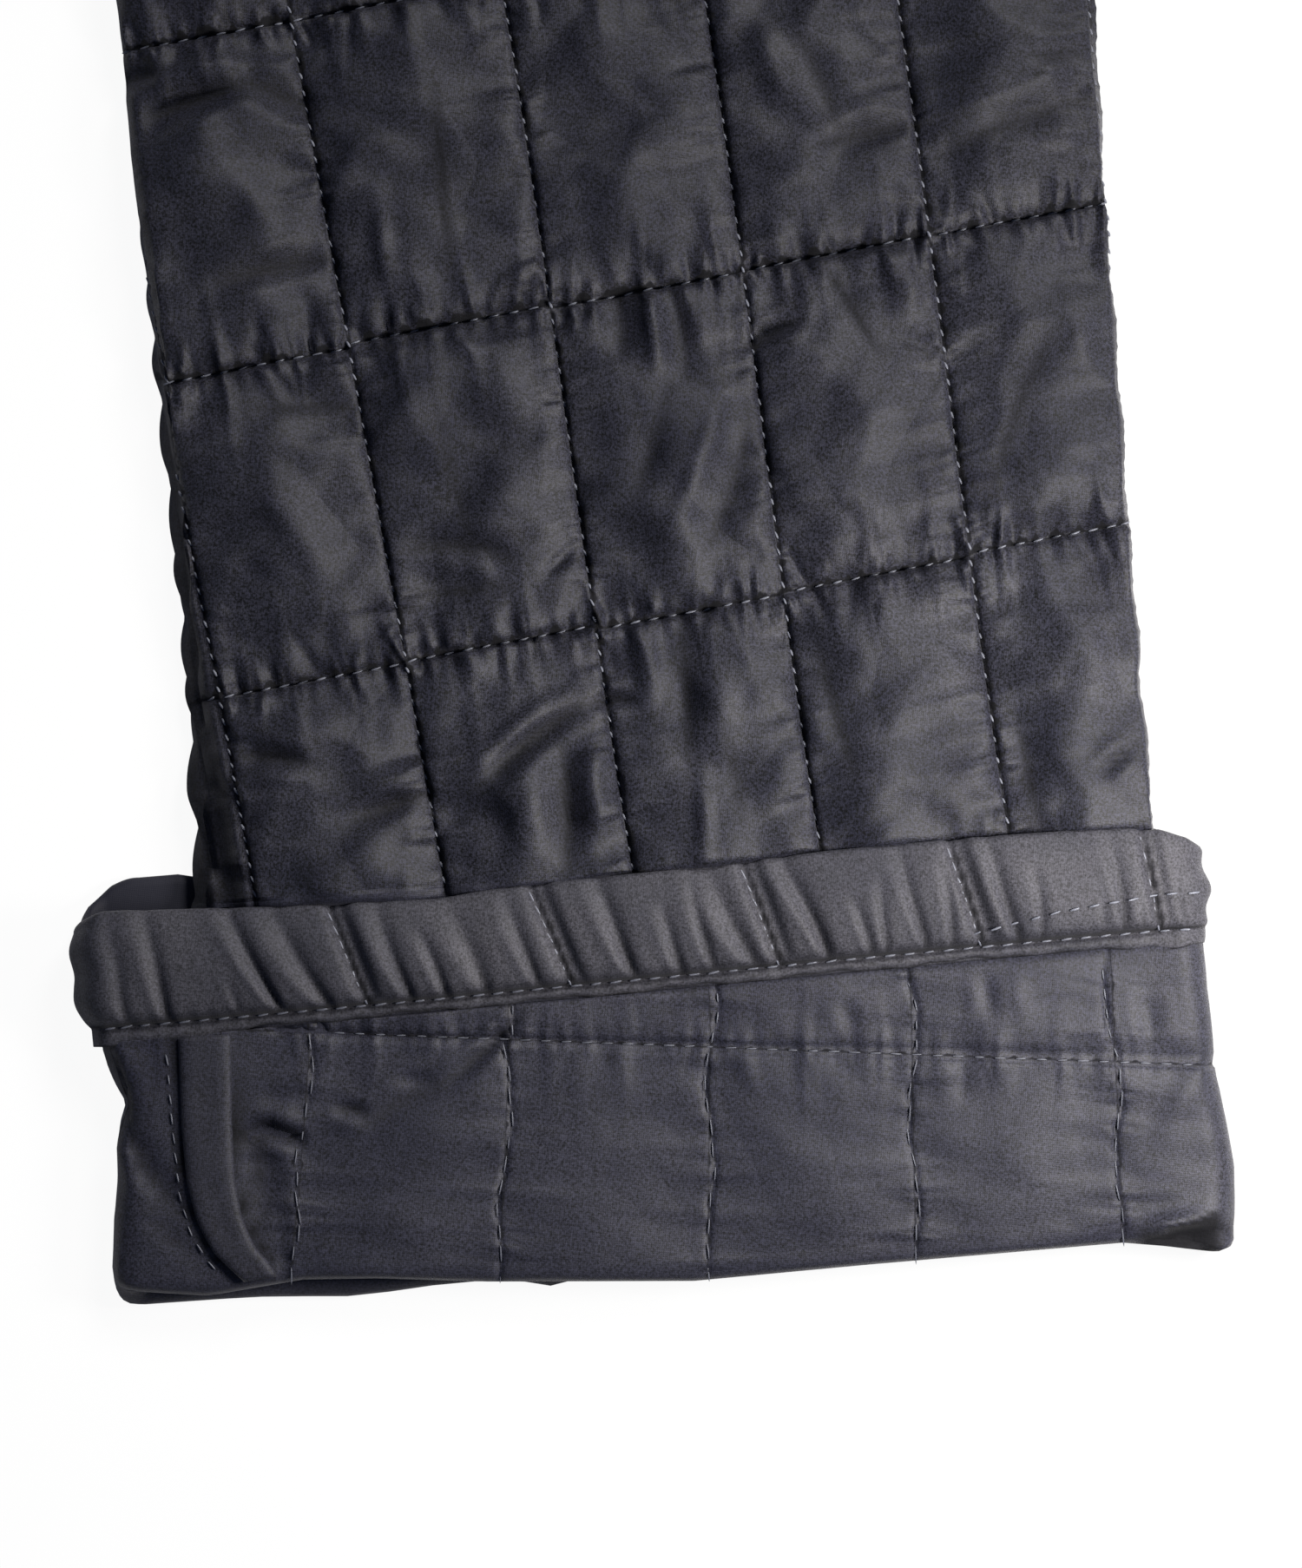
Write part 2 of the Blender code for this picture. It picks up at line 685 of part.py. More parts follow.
def build_sleeve(side, name, shell, inside):
    """A sleeve with its gathered hem and seam allowance."""
    frame = sleeve_frame()
    sleeve = add_object("sleeve_" + name, sleeve_mesh(), shell, side, frame)
    cutter = add_object("armhole_cutter_" + name, armhole_cutter(), shell, side)
    cutter.hide_render = True
    cutter.display_type = "WIRE"
    trim = sleeve.modifiers.new("armhole", "BOOLEAN")
    trim.operation = "DIFFERENCE"
    trim.solver = "EXACT"
    trim.object = cutter
    add_object("cuff_hem_" + name, band_mesh(), inside, side, frame)
    add_object("cuff_seam_" + name, strip_mesh(), inside, side, frame)


def build_jacket():
    shell = material("nylon", NYLON, 0.42)
    inside = material("nylon_inside", NYLON_INSIDE, 0.48)
    binding = material("binding", NYLON, 0.5)
    snap = material("snap", SNAP_COLOUR, 0.35)
    add_object("back", back_mesh(), inside)
    for side, name in ((1, "left"), (-1, "right")):
        add_object("front_" + name, front_mesh(), shell, side)
        build_sleeve(side, name, shell, inside)
        add_object("neck_binding_" + name, front_binding_mesh(), binding, side)
    add_object("neck_binding_back", back_binding_mesh(), binding)
    add_object("placket", placket_mesh(), binding)
    for place in range(SNAP_COUNT):
        add_object(f"snap_{place + 1}", snap_mesh(SNAP_FIRST_Y + place * SNAP_STEP), snap)


for old in list(bpy.data.objects):
    bpy.data.objects.remove(old)
build_jacket()
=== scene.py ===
"""The look of the box-quilted jacket: cloth, sewing, snaps, light and camera.

Sizes are millimetres, scaled to metres where a mesh is made. +Z is up, the collar points to +Y, and the
wearer's left is +X. A sleeve is laid out in its own frame: t across, h up the sleeve from the fold of the
turned-back cuff, z up. Quilted cloth is placed by u, counted in stitched columns, and v, counted in rows.
"""

import math

import bmesh
import bpy
import numpy as np
from mathutils import Matrix, Vector


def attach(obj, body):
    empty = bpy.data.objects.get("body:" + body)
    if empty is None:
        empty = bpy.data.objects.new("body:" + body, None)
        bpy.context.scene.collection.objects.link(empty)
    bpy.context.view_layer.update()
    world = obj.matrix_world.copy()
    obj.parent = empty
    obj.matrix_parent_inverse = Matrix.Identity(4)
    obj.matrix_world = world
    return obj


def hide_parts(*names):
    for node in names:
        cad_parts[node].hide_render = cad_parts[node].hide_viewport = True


MM = 0.001

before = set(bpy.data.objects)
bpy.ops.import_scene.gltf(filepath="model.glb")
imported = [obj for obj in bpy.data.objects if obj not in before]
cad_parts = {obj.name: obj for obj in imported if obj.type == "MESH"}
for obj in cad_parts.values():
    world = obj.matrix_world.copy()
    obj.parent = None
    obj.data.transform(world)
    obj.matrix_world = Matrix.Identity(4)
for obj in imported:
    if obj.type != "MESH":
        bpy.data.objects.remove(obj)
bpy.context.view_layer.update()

# Body panels, seen from above, with the hem at y = 0.
HEM_HALF = 285.0
UNDERARM = (290.0, 370.0)
SHOULDER = (262.0, 640.0)
NECK_POINT = (85.0, 680.0)
BACK_NECK_Y = 662.0
FRONT_NECK_Y = 590.0
ARMHOLE_HOLLOW = 14.0
PLACKET_HALF = 16.0
MIDDLE_Y = 342.9

# Cloth and how closely pieces meet.
WALL = 1.7
SEAM_GAP = 0.3
BACK_THICKNESS = 3.2
FRONT_FLOOR = BACK_THICKNESS + SEAM_GAP
EDGE_DROP = 0.9
ROLLED_EDGE = 3.2

# The quilting: boxes that are taller than wide.
COLUMN = 28.0
ROW = 48.0
BODY_FIRST_COLUMN = PLACKET_HALF + 10.0
BODY_FIRST_ROW = 20.0

# The sleeve's frame.
SLEEVE_ANGLE = math.radians(50.0)
SLEEVE_LENGTH = 533.0
SLEEVE_TOP = 640.0
GRID_LEAN = 0.117
FIRST_ROW_H = 95.4
BAND_TOP = 58.5

# The sleeve's outer surface: h, left and right edge, underside, and top at the stitch lines.
SLEEVE_SECTIONS = (
    # h, left, right, floor, roof
    (0, -79, 79.5, 2.1, 6.3),
    (12, -77.5, 79, 2.1, 6.3),
    (34, -72, 77.6, 2.2, 6.3),
    (39.5, -71, 77.2, 3.3, 7.5),
    (60, -66.5, 75.5, 3.3, 7.5),
    (90, -66, 75.5, 0, 4.9),
    (190, -68.5, 75.7, 0, 4.9),
    (300, -75, 81, 0, 5),
    (420, -84, 88, 0, 5.2),
    (533, -94, 94, 0, 5.3),
    (720, -110, 104, 0, 5.3),
)
# The turned-back cuff's outer surface.
CUFF_SECTIONS = (
    # h, left, right, floor, roof
    (0, -80.6, 80.8, 0.9, 7.5),
    (2.5, -82.2, 82.4, 0, 8.2),
    (10, -81.7, 83.2, 0, 8.3),
    (23, -81.2, 81.5, 0, 8.3),
    (45, -81.6, 80.8, 0, 8.3),
)
# Where the first stitched column line lies across the sleeve, and the width of a column there.
SLEEVE_COLUMNS = (
    # h, first, width
    (0, -55.7, 30.4),
    (60, -57, 27.6),
    (187, -72.4, 29.2),
    (720, -115, 29.2),
)
# How far a column line strays to the right of its even place, full from the second row up.
COLUMN_STRAY = (
    # line, stray
    (1, 0),
    (2, 2.4),
    (3, 2.5),
    (4, 1.3),
    (5, 0),
)
CUFF_COLUMNS = (
    # h, first, width
    (0, -55.7, 30.4),
    (35, -50.8, 29.4),
    (60, -50, 29.4),
)
# The cuff's rows: how far apart, and where its one stitched line and its edge lie at t = 0 and how they lean.
CUFF_ROW = 42.0
CUFF_LINE_H = 33.3
CUFF_LINE_LEAN = -0.107
CUFF_EDGE_H = 41.2
CUFF_EDGE_LEAN = 0.024
CUFF_LEFT = (
    # h, how far the cuff's left side is drawn in
    (0, 0),
    (12, 0.3),
    (19, 0.9),
    (24, 1),
    (27.5, 1.9),
    (30.2, 3),
    (32.5, 2),
    (35.5, 0.8),
    (38, 0.2),
    (42, 0),
)

# How far the fold of the cuff's upper layer lies from a straight line.
FOLD_EDGE = (
    # t, rise
    (-82, 3),
    (-68, 1.2),
    (-54, 2.6),
    (-43, 2),
    (-27, 0.4),
    (3, -1.6),
    (29, -1),
    (66, -0.4),
    (72, -1.3),
    (80, -2.8),
    (83, -2.4),
)

# The sleeve's upper layer lies a little inside its lower one along the left edge, near the cuff.
LAYER_STEP = (
    # h, step
    (58, 2),
    (120, 1.7),
    (150, 0.5),
    (165, 0),
)

# The gathered hem's outer surface.
BAND_SECTIONS = (
    # h, left, right, floor, roof
    (40, -82.6, 81, 0, 9.6),
    (50, -84.4, 81.8, 0, 9.6),
    (60, -84, 81.2, 0, 9.6),
)
HEM_LOWER = CUFF_EDGE_H + 0.4
HEM_HEIGHT = 17.0
HEM_THICKNESS = 1.9
HEM_REACH = 99.0
HEM_INNER_FLOOR = 1.8
HEM_INNER_ROOF = 7.8
# The gathers of the hem, from its lower stitching up to its top.
GATHERS = (
    # t at the stitching, t at the top, depth, half width, how far up it reaches
    (-76.2, -79, 0.7, 1.3, 0.9),
    (-70.1, -73.6, 1.1, 1.3, 1),
    (-60.1, -62.8, 0.6, 0.9, 0.3),
    (-54.2, -60.5, 1.7, 1.3, 1),
    (-46.4, -54.8, 1.4, 1.9, 1),
    (-35, -39, 1.4, 1.4, 0.9),
    (-30.3, -34.3, 1.2, 1.1, 0.6),
    (-24.3, -28.5, 1, 2, 0.9),
    (-16.8, -20.1, 1.2, 1.2, 0.8),
    (-1.7, -7.6, 1.5, 1.4, 1),
    (5, 0.3, 1.2, 1.2, 0.6),
    (9.3, 6.5, 1, 1, 0.8),
    (15.3, 9.4, 1.5, 2, 0.9),
    (25.8, 20, 1.7, 1.4, 1),
    (32, 27.6, 0.9, 1, 0.5),
    (34.4, 34.5, 0.8, 0.9, 0.6),
    (39.9, 37.6, 1.1, 1.1, 0.9),
    (43.9, 42.6, 0.9, 0.9, 0.7),
    (54.4, 49.5, 1.4, 1.3, 1),
    (56.9, 55.8, 0.8, 0.9, 0.6),
    (66.5, 65.8, 0.5, 0.8, 0.3),
    (69.1, 67.3, 0.9, 1.1, 0.9),
    (71.9, 71.2, 0.5, 0.8, 0.3),
    (78.2, 77.7, 0.5, 1.2, 0.9),
)
# The hem's height in shares: its stitching, the rings of its lip and face, and the turns over its top.
HEM_STITCHING = 0.09
HEM_LIP = (0.0, 0.015, 0.03, 0.045, 0.06, 0.075, 0.09, 0.1, 0.115, 0.13, 0.15, 0.17, 0.195)
HEM_FACE = np.concatenate([HEM_LIP, np.linspace(0.22, 0.95, 26)])
HEM_TOP_TURNS = (20.0, 45.0, 70.0, 90.0, 115.0, 145.0, 180.0)
HEM_TOP = (
    # t, how far the hem's top edge strays from a straight line
    (-85.5, -3.6),
    (-83, -1.4),
    (-79, -0.3),
    (-57, -1.3),
    (-31, -2),
    (-16, -0.6),
    (0, -0.3),
    (26, 1),
    (45, 1.5),
    (66, 1.5),
    (75, 0.9),
    (79, -0.5),
    (81.5, -2.2),
)
# The stitched column lines that run on over the hem.
HEM_CROSSINGS = (
    # t at the stitching, t at the top
    (-41.6, -46.3),
    (-11.8, -16.9),
    (18.6, 14.1),
    (48.1, 44.2),
    (74.1, 72.3),
)
# A second row of stitching that drifts up over the right of the hem.
SECOND_ROW = (
    # t, h
    (47.4, 45.2),
    (58.8, 47.2),
    (70, 48.3),
    (80, 49.4),
)

# Creases placed one by one, each a trough where its rise is below 0: where its middle is, which way it runs,
# its size, how far it rises, and how far its middle bows to the left of its run.
SLEEVE_CREASES = (
    # t, h, turned, half length, half width, rise, bow
    (-57, 175.4, 14, 10, 1.7, -1.7, 0.8),
    (-46.5, 175.6, -24, 7, 1.6, -1.3, 0.5),
    (-55, 170, 8, 12, 3.4, 0.7, 0.5),
    (-48.5, 149.6, 10, 11, 1.5, -1.4, 0.9),
    (-49, 153.6, 12, 12, 3.2, 0.6, 0.8),
    (-66, 180.2, 6, 5, 1.6, -1, 0),
    (-22.4, 162, -89, 15, 6.5, -1.5, 0),
    (-12.9, 166, -88, 18, 3.6, 0.9, 0),
    (-31.2, 153.4, -88, 7, 1.3, 0.7, -0.6),
    (-33, 159.5, 24, 4, 1.3, 0.5, 0),
    (-24.3, 105.8, -8, 10.5, 1.6, -1.2, 2.4),
    (-24, 101.5, 0, 9, 4.2, -0.9, 0),
    (-9.2, 104.8, 38, 5, 0.7, -0.7, 0.2),
    (-14.5, 124, -84, 17, 4.4, 1, 0),
    (-23, 118, -80, 12, 3.4, -0.8, -1),
    (-44.5, 129.8, -2, 11, 2.6, -1, 0),
    (-43.5, 122.4, -4, 10, 2.4, 0.7, 0),
    (-46, 135.8, 2, 9, 2.4, 0.6, 0),
    (-56, 113, 8, 8, 2.2, -0.7, 0.6),
    (39.7, 163.4, 9, 9.5, 1.7, -1.3, 0.8),
    (40, 158.2, 12, 8, 2.6, 0.7, 0),
    (33, 172, -70, 9, 2.4, -1, 0.6),
    (26.5, 176, -80, 9, 2, 0.8, 0),
    (24.1, 135.7, 20, 5.5, 0.9, -1.2, 0.3),
    (24, 132.4, 18, 6, 2.2, 0.5, 0),
    (36, 138.5, -62, 9, 4.2, -1.4, 0),
    (43.5, 142, -72, 9, 2.2, 0.8, 0),
    (29.5, 142, -96, 6, 1.8, 0.7, 0),
    (6.8, 138, -86, 8, 1.5, 0.9, 0),
    (10.6, 137, -88, 8, 1.6, -1, 0),
    (2, 139, -88, 7, 1.7, -1, 0),
    (11.5, 118.3, -114, 14, 1.7, 1, 0.8),
    (16, 114.5, -112, 12, 2, -1, 0.8),
    (5.6, 121, -110, 11, 2.4, -1, 0),
    (61.6, 163.4, 17, 14.5, 1.8, -1.1, 0.8),
    (62, 168.6, 17, 13, 2.6, 0.7, 0.6),
    (68.4, 173.4, 6, 4.5, 1.1, -1, 0),
    (56.5, 148, 84, 9, 2.6, 0.7, 0),
    (60, 122, 66, 15, 4.4, -1.1, 1),
    (66, 130, 52, 13, 3, 0.7, 0),
    (57, 108, 58, 9, 2.8, 0.6, 0),
    (-52.8, 78.2, -10, 7.5, 1.3, -1.3, 0.8),
    (-39, 73.6, 8, 12, 2.2, 0.9, 0.6),
    (-36.8, 70, 19, 8.5, 1.4, -1.4, 0.6),
    (-44, 62.5, 12, 8, 2.4, 0.7, 0),
    (-14.6, 78, 36, 11.5, 1.3, -1.8, 0.9),
    (-3.4, 83.5, 2, 4.6, 0.9, -1.2, 0.5),
    (-12, 81.6, 36, 10, 2.6, 0.8, 0.8),
    (-10.8, 68.4, -92, 11, 1.9, -1.6, 0),
    (-17.3, 67.6, -94, 10, 2.2, 0.9, 0),
    (-6, 71, -88, 9, 1.8, 0.8, 0),
    (-61, 75.6, -54, 5, 0.9, -1.1, -0.5),
    (-61.6, 64.8, -58, 4.6, 0.9, -1.1, -0.4),
    (-63.4, 84, -62, 4, 0.9, -0.8, 0),
    (7.8, 84.6, -91, 13, 2.4, -1.25, 0),
    (2.8, 90, -86, 7, 1.6, 0.8, 0),
    (9.2, 66, -93, 9, 1.2, 0.9, 0),
    (17.4, 87.4, -74, 9, 3, 0.9, 0),
    (14, 72, -84, 9, 3.4, -0.8, 0),
    (29.5, 80, -78, 12, 3, -1.1, 0),
    (31, 91, -66, 9, 3.8, 0.8, 0),
    (47, 77, -90, 16, 4.2, 1, 0),
    (33, 66, 34, 8, 2, 0.6, 0),
    (70, 70.4, 33, 4.6, 0.9, -1.2, 0.3),
    (56.8, 68.6, -84, 10, 3, -1.1, 0),
    (67, 84, -84, 12, 3.8, 0.8, 0),
    (56, 64, 12, 6, 1.6, 0.7, 0),
    (11.6, 96.2, -90, 2.6, 0.8, -1, 0),
    (-46, 470, 62, 70, 13, 2.2, 0),
    (-30, 430, 48, 60, 12, 1.8, 0),
    (34, 300, 12, 46, 12, 1.6, 0),
    (-24, 262, -16, 40, 11, 1.5, 0),
    (20, 214, 8, 42, 11, 1.2, 0),
    (-52, 236, 18, 16, 1.8, -1.5, 1.6),
    (48, 248, -14, 18, 1.9, -1.4, -1.5),
    (6, 330, 30, 22, 2.2, -1.6, 2),
    (-44, 372, -28, 24, 2.4, -1.7, -2.2),
    (56, 402, 20, 22, 2.2, -1.6, 1.8),
    (12, 452, 44, 30, 2.8, -1.9, 2.4),
    (60, 520, 52, 32, 3, -2, 2.6),
)
CUFF_CREASES = (
    # t, h, turned, half length, half width, rise, bow
    (-59.9, 24.3, 38, 2.9, 1, -2.4, 0),
    (-55.4, 24.6, -20, 4.2, 1, -2.4, -0.6),
    (-57, 27.6, 4, 4, 1.3, 0.6, 0),
    (-25.5, 34.6, 38, 8.5, 0.9, -1.3, -0.5),
    (-37, 27.4, 24, 9, 1.5, -0.8, 0.6),
    (-35.8, 30.8, 1, 3.4, 0.9, -0.7, 0),
    (-45.1, 26.6, -10, 3.2, 0.9, -1.3, 0.3),
    (-31, 24, 30, 12, 3.4, 0.6, 0),
    (-75, 22, -64, 13, 1.5, -1.1, -1.2),
    (-78.6, 33, -72, 7, 1.2, -0.9, 0),
    (-72.6, 10, -58, 7, 1, -0.8, -0.6),
    (-59, 18, 88, 12, 1.6, -0.9, 0),
    (75, 1.2, 17, 8.5, 1.4, -3.4, 0.3),
    (73.4, 3.4, 16, 8.5, 0.8, 1.1, 0.4),
    (77.6, 0.6, -30, 5, 0.9, -0.9, 0),
    (13, 29, -74, 5, 1.3, 0.4, 0),
    (27, 30, -96, 5, 1.5, -0.4, 0),
    (44, 27, -88, 6, 1.3, -0.4, 0),
    (50, 27, -86, 6, 1.4, 0.4, 0),
    (48.6, 37.2, -84, 3.6, 1, -0.6, 0),
    (53, 36.8, -86, 3.6, 1.2, 0.5, 0),
    (28, 35.8, -88, 3, 1.2, -0.5, 0),
    (72, 32, -82, 5, 1.3, -0.5, 0),
    (76, 20, 60, 9, 2, 0.6, 0),
)
BODY_CREASES = (
    # x, y, turned, half length, half width, rise, bow
    (228, 352, 24, 74, 14, 2.4, 0),
    (214, 300, 12, 66, 13, 1.8, 0),
    (150, 520, -58, 70, 14, 1.6, 0),
    (112, 150, 82, 84, 15, 1.6, 0),
    (246, 372, 22, 34, 2.6, -2, 3),
    (232, 330, 16, 44, 3, -1.8, 3),
    (196, 282, 8, 40, 2.6, -1.5, -2.4),
    (172, 560, -60, 42, 2.8, -1.7, 3),
    (120, 500, -48, 34, 2.4, -1.4, -2),
    (70, 428, 30, 26, 2.2, -1.3, 1.6),
    (86, 212, 76, 44, 2.6, -1.5, 3),
    (150, 96, 84, 36, 2.4, -1.4, -2.6),
    (240, 130, 70, 40, 2.8, -1.6, 3),
    (206, 430, -20, 28, 2.2, -1.4, -1.8),
    (52, 330, -24, 20, 1.9, -1.2, 1.4),
    (58, 90, 20, 22, 2, -1.2, 1.4),
)

# The strip of seam allowance on the cuff: its two edges.
SEAM_STRIP = (
    # h, left, right
    (1.4, -62.4, -57.6),
    (4, -64.4, -58.8),
    (7, -66.4, -60.4),
    (12.8, -68.6, -62.2),
    (18.2, -69.6, -62.8),
    (26.4, -69.8, -62.7),
    (39.3, -69.4, -61.9),
)
STRIP_THICKNESS = 1.3
SEAM_LINE = (
    # t, h
    (-71.5, 39),
    (-71.3, 34.6),
    (-71.3, 27),
    (-70.9, 16),
    (-69.6, 9.5),
    (-67, 4.6),
)

BINDING_WIDTH = 6.0
FRONT_BINDING_TOP = 7.6
PLACKET_TOP = 7.0
SNAP_COUNT = 5
SNAP_FIRST_Y = 62.0
SNAP_STEP = 122.0
SNAP_RADIUS = 7.5
SNAP_SIDES = 48
SNAP_PROFILE = (
    # radius share, height above the placket
    (0.97, 0),
    (1, 0.25),
    (1, 0.7),
    (0.96, 1.05),
    (0.88, 1.3),
    (0.78, 1.36),
    (0.68, 1.28),
    (0.62, 1.3),
    (0.58, 1.7),
    (0.5, 2.1),
    (0.36, 2.33),
    (0.18, 2.4),
)

# Sewing.
STITCH_PITCH = 2.87
CUFF_DOWN_PITCH = 3.3
DOWN_PITCH = 2.47
ACROSS_PITCH = 2.75

# How closely the swatch's and the front panels' points lie, in steps per box.
COLUMN_STEPS = 26
ROW_STEPS = 44
BODY_STEPS = 12
BODY_ROW_STEPS = 20

# The stitched lines: how deep they pull the cloth in and how far beside them it rises again.
TRENCH_DEPTH = 1.0
TRENCH_WIDTH = 0.46
PUFF = 0.95
STITCH_LIFT = 0.3


def along(table, h):
    """The other columns of a table at each h, read between its rows."""
    rows = np.array(table)
    return [np.interp(h, rows[:, 0], column) for column in rows[:, 1:].T]


def ramp(value, low, high):
    """A smooth step from 0 at low to 1 at high."""
    share = np.clip((value - low) / (high - low), 0.0, 1.0)
    return share * share * (3.0 - 2.0 * share)


def hill(distance, width=1.0):
    """A bell-shaped rise, 1 at its middle."""
    return np.exp(-((distance / width) ** 2))


def crease_places(creases, x, y):
    """Each crease's half width and rise, and for every point its fade along it and its way across it."""
    for middle_x, middle_y, turned, half_length, half_width, height, bow in creases:
        turn = math.radians(turned)
        run = (x - middle_x) * math.cos(turn) + (y - middle_y) * math.sin(turn)
        share = np.clip(run / half_length, -1.0, 1.0)
        across = (y - middle_y) * math.cos(turn) - (x - middle_x) * math.sin(turn)
        fade = 1.0 - share * share
        yield half_width, height, fade, across - bow * fade


def crease_rise(creases, x, y):
    """How far the creases lift the cloth at each point, with a soft shoulder beside each trough."""
    rise = np.zeros(np.shape(x))
    for half_width, height, fade, across in crease_places(creases, x, y):
        across = across / half_width
        profile = hill(across)
        if height < 0.0:
            profile = np.exp(-np.abs(across) ** 1.35) - 0.38 * hill(np.abs(across) - 2.1)
        rise += height * min(1.0, 2.3 / half_width) * profile * fade ** 1.5
    return rise


def crease_shade(creases, x, y):
    """The painted shade at the bottoms of the deeper creases."""
    shade = np.zeros(np.shape(x))
    for half_width, height, fade, across in crease_places(creases, x, y):
        if height <= -0.75:
            across = across / min(half_width, 1.3)
            deep = min(1.0, -height / 1.6) * fade
            shade = np.maximum(shade, 0.8 * deep * hill(across, 0.65))
    return shade


class Nodes:
    """Short ways to fill a node tree. An input that is given a socket is linked to it, and else it is set."""

    def __init__(self, tree):
        self.tree = tree

    def fill(self, node, inputs):
        for name, value in inputs.items():
            if isinstance(value, bpy.types.NodeSocket):
                self.tree.links.new(value, node.inputs[name])
            else:
                node.inputs[name].default_value = value

    def add(self, kind, inputs=None, **settings):
        node = self.tree.nodes.new(kind)
        for name, value in settings.items():
            setattr(node, name, value)
        self.fill(node, inputs or {})
        return node

    def math(self, operation, *values):
        return self.add("ShaderNodeMath", dict(enumerate(values)), operation=operation).outputs["Value"]

    def vector(self, operation, *values):
        made = self.add("ShaderNodeVectorMath", dict(enumerate(values)), operation=operation)
        return made.outputs["Vector"]

    def times(self, *values):
        return self.math("MULTIPLY", *values)

    def place(self, x, y, z):
        return self.add("ShaderNodeCombineXYZ", {"X": x, "Y": y, "Z": z}).outputs["Vector"]

    def noise(self, place, scale, detail=2.0, roughness=0.5, **settings):
        inputs = {"Vector": place, "Scale": scale, "Detail": detail, "Roughness": roughness}
        return self.add("ShaderNodeTexNoise", inputs, **settings).outputs["Fac"]

    def mix(self, factor, low, high, **settings):
        made = self.add("ShaderNodeMix", {0: factor, 6: low, 7: high}, data_type="RGBA", **settings)
        return made.outputs[2]

    def stretch(self, value, from_min, from_max, to_min=0.0, to_max=1.0, **settings):
        ends = {"From Min": from_min, "From Max": from_max, "To Min": to_min, "To Max": to_max}
        return self.add("ShaderNodeMapRange", {"Value": value, **ends}, **settings).outputs["Result"]

    def ease(self, *values):
        return self.stretch(*values, interpolation_type="SMOOTHSTEP")


def new_group(name, kind, inputs, outputs):
    """A node group with named sockets. Returns its nodes, the sockets it is given and its output."""
    tree = bpy.data.node_groups.new(name, kind + "NodeTree")
    for way, sockets in (("INPUT", inputs), ("OUTPUT", outputs)):
        for socket, value in sockets.items():
            tree.interface.new_socket(socket, in_out=way, socket_type="NodeSocket" + value)
    nodes = Nodes(tree)
    return nodes, nodes.add("NodeGroupInput").outputs, nodes.add("NodeGroupOutput")


def put_in_scene(name, data):
    """A new object in the scene."""
    made = bpy.data.objects.new(name, data)
    bpy.context.scene.collection.objects.link(made)
    return made


# ---------------------------------------------------------------- the quilted swatch


SWATCH_COLUMNS = 4
SWATCH_ROWS = 3
SWATCH_ENLARGED = 10.0
SWATCH_FRAMES = 40
SWATCH_SLACK = 0.05
NYLON = {
    "quality": 5,
    "mass": 0.15,
    "air_damping": 2.0,
    "tension_stiffness": 30.0,
    "compression_stiffness": 30.0,
    "shear_stiffness": 10.0,
    "bending_stiffness": 60.0,
}


def swatch_grid():
    """Points of the flat swatch, which of them are stitched down, and the cloth's faint first waviness."""
    count_x = SWATCH_COLUMNS * COLUMN_STEPS + 1
    count_y = SWATCH_ROWS * ROW_STEPS + 1
    x, y = np.meshgrid(np.arange(count_x) * COLUMN / COLUMN_STEPS, np.arange(count_y) * ROW / ROW_STEPS)
    on_column, on_row = np.arange(count_x) % COLUMN_STEPS == 0, np.arange(count_y) % ROW_STEPS == 0
    stitched = on_column[None, :] | on_row[:, None]
    draw = np.random.RandomState(5)
    wave = np.zeros(x.shape)
    for _ in range(60):
        length, heading = draw.uniform(7.0, 22.0), draw.uniform(0.0, 2.0 * np.pi)
        start = draw.uniform(0.0, 6.3)
        wave += np.sin((x * np.cos(heading) + y * np.sin(heading)) * 2.0 * np.pi / length + start)
    dome = np.abs(np.sin(x / COLUMN * np.pi) * np.sin(y / ROW * np.pi))
    z = np.where(stitched, 0.0, 0.05 * wave + 0.8 * dome)
    return x, y, z, stitched


def settle_swatch(x, y, z, stitched):
    """Blender's cloth simulation on slack nylon, stitched down on the grid. Returns how each point moved."""
    points = np.stack([x, y, z], -1).reshape(-1, 3) * MM * SWATCH_ENLARGED
    index = np.arange(x.size).reshape(x.shape)
    quads = np.stack([index[:-1, :-1], index[:-1, 1:], index[1:, 1:], index[1:, :-1]], -1).reshape(-1, 4)
    mesh = bpy.data.meshes.new("swatch")
    mesh.from_pydata(points.tolist(), [], quads.tolist())
    swatch = put_in_scene("swatch", mesh)
    scene = bpy.context.scene
    group = swatch.vertex_groups.new(name="stitched")
    group.add(index[stitched].tolist(), 1.0, "REPLACE")
    cloth = swatch.modifiers.new("cloth", "CLOTH")
    nylon = cloth.settings
    for quantity, value in NYLON.items():
        setattr(nylon, quantity, value)
    nylon.vertex_group_mass = group.name
    nylon.shrink_min = -SWATCH_SLACK
    nylon.effector_weights.gravity = -0.3
    cloth.point_cache.frame_start = 1
    cloth.point_cache.frame_end = SWATCH_FRAMES
    for number in range(1, SWATCH_FRAMES + 1):
        scene.frame_set(number)
    settled = swatch.evaluated_get(bpy.context.evaluated_depsgraph_get())
    moved = np.zeros(points.size, np.float32)
    settled.data.vertices.foreach_get("co", moved)
    scene.frame_set(1)
    bpy.data.objects.remove(swatch)
    shift = moved.reshape(points.shape) / (MM * SWATCH_ENLARGED)
    return shift.reshape(*x.shape, 3) - np.stack([x, y, np.zeros(x.shape)], -1)


def smooth_swatch(shift, stitched, passes):
    """Evens out the finest zigzag, with the stitched lines held."""
    for _ in range(passes):
        wide = np.pad(shift, ((1, 1), (1, 1), (0, 0)), mode="edge")
        around = (wide[:-2, 1:-1] + wide[2:, 1:-1] + wide[1:-1, :-2] + wide[1:-1, 2:]) / 4.0
        shift = np.where(stitched[..., None], shift, 0.5 * (shift + around))
    return shift


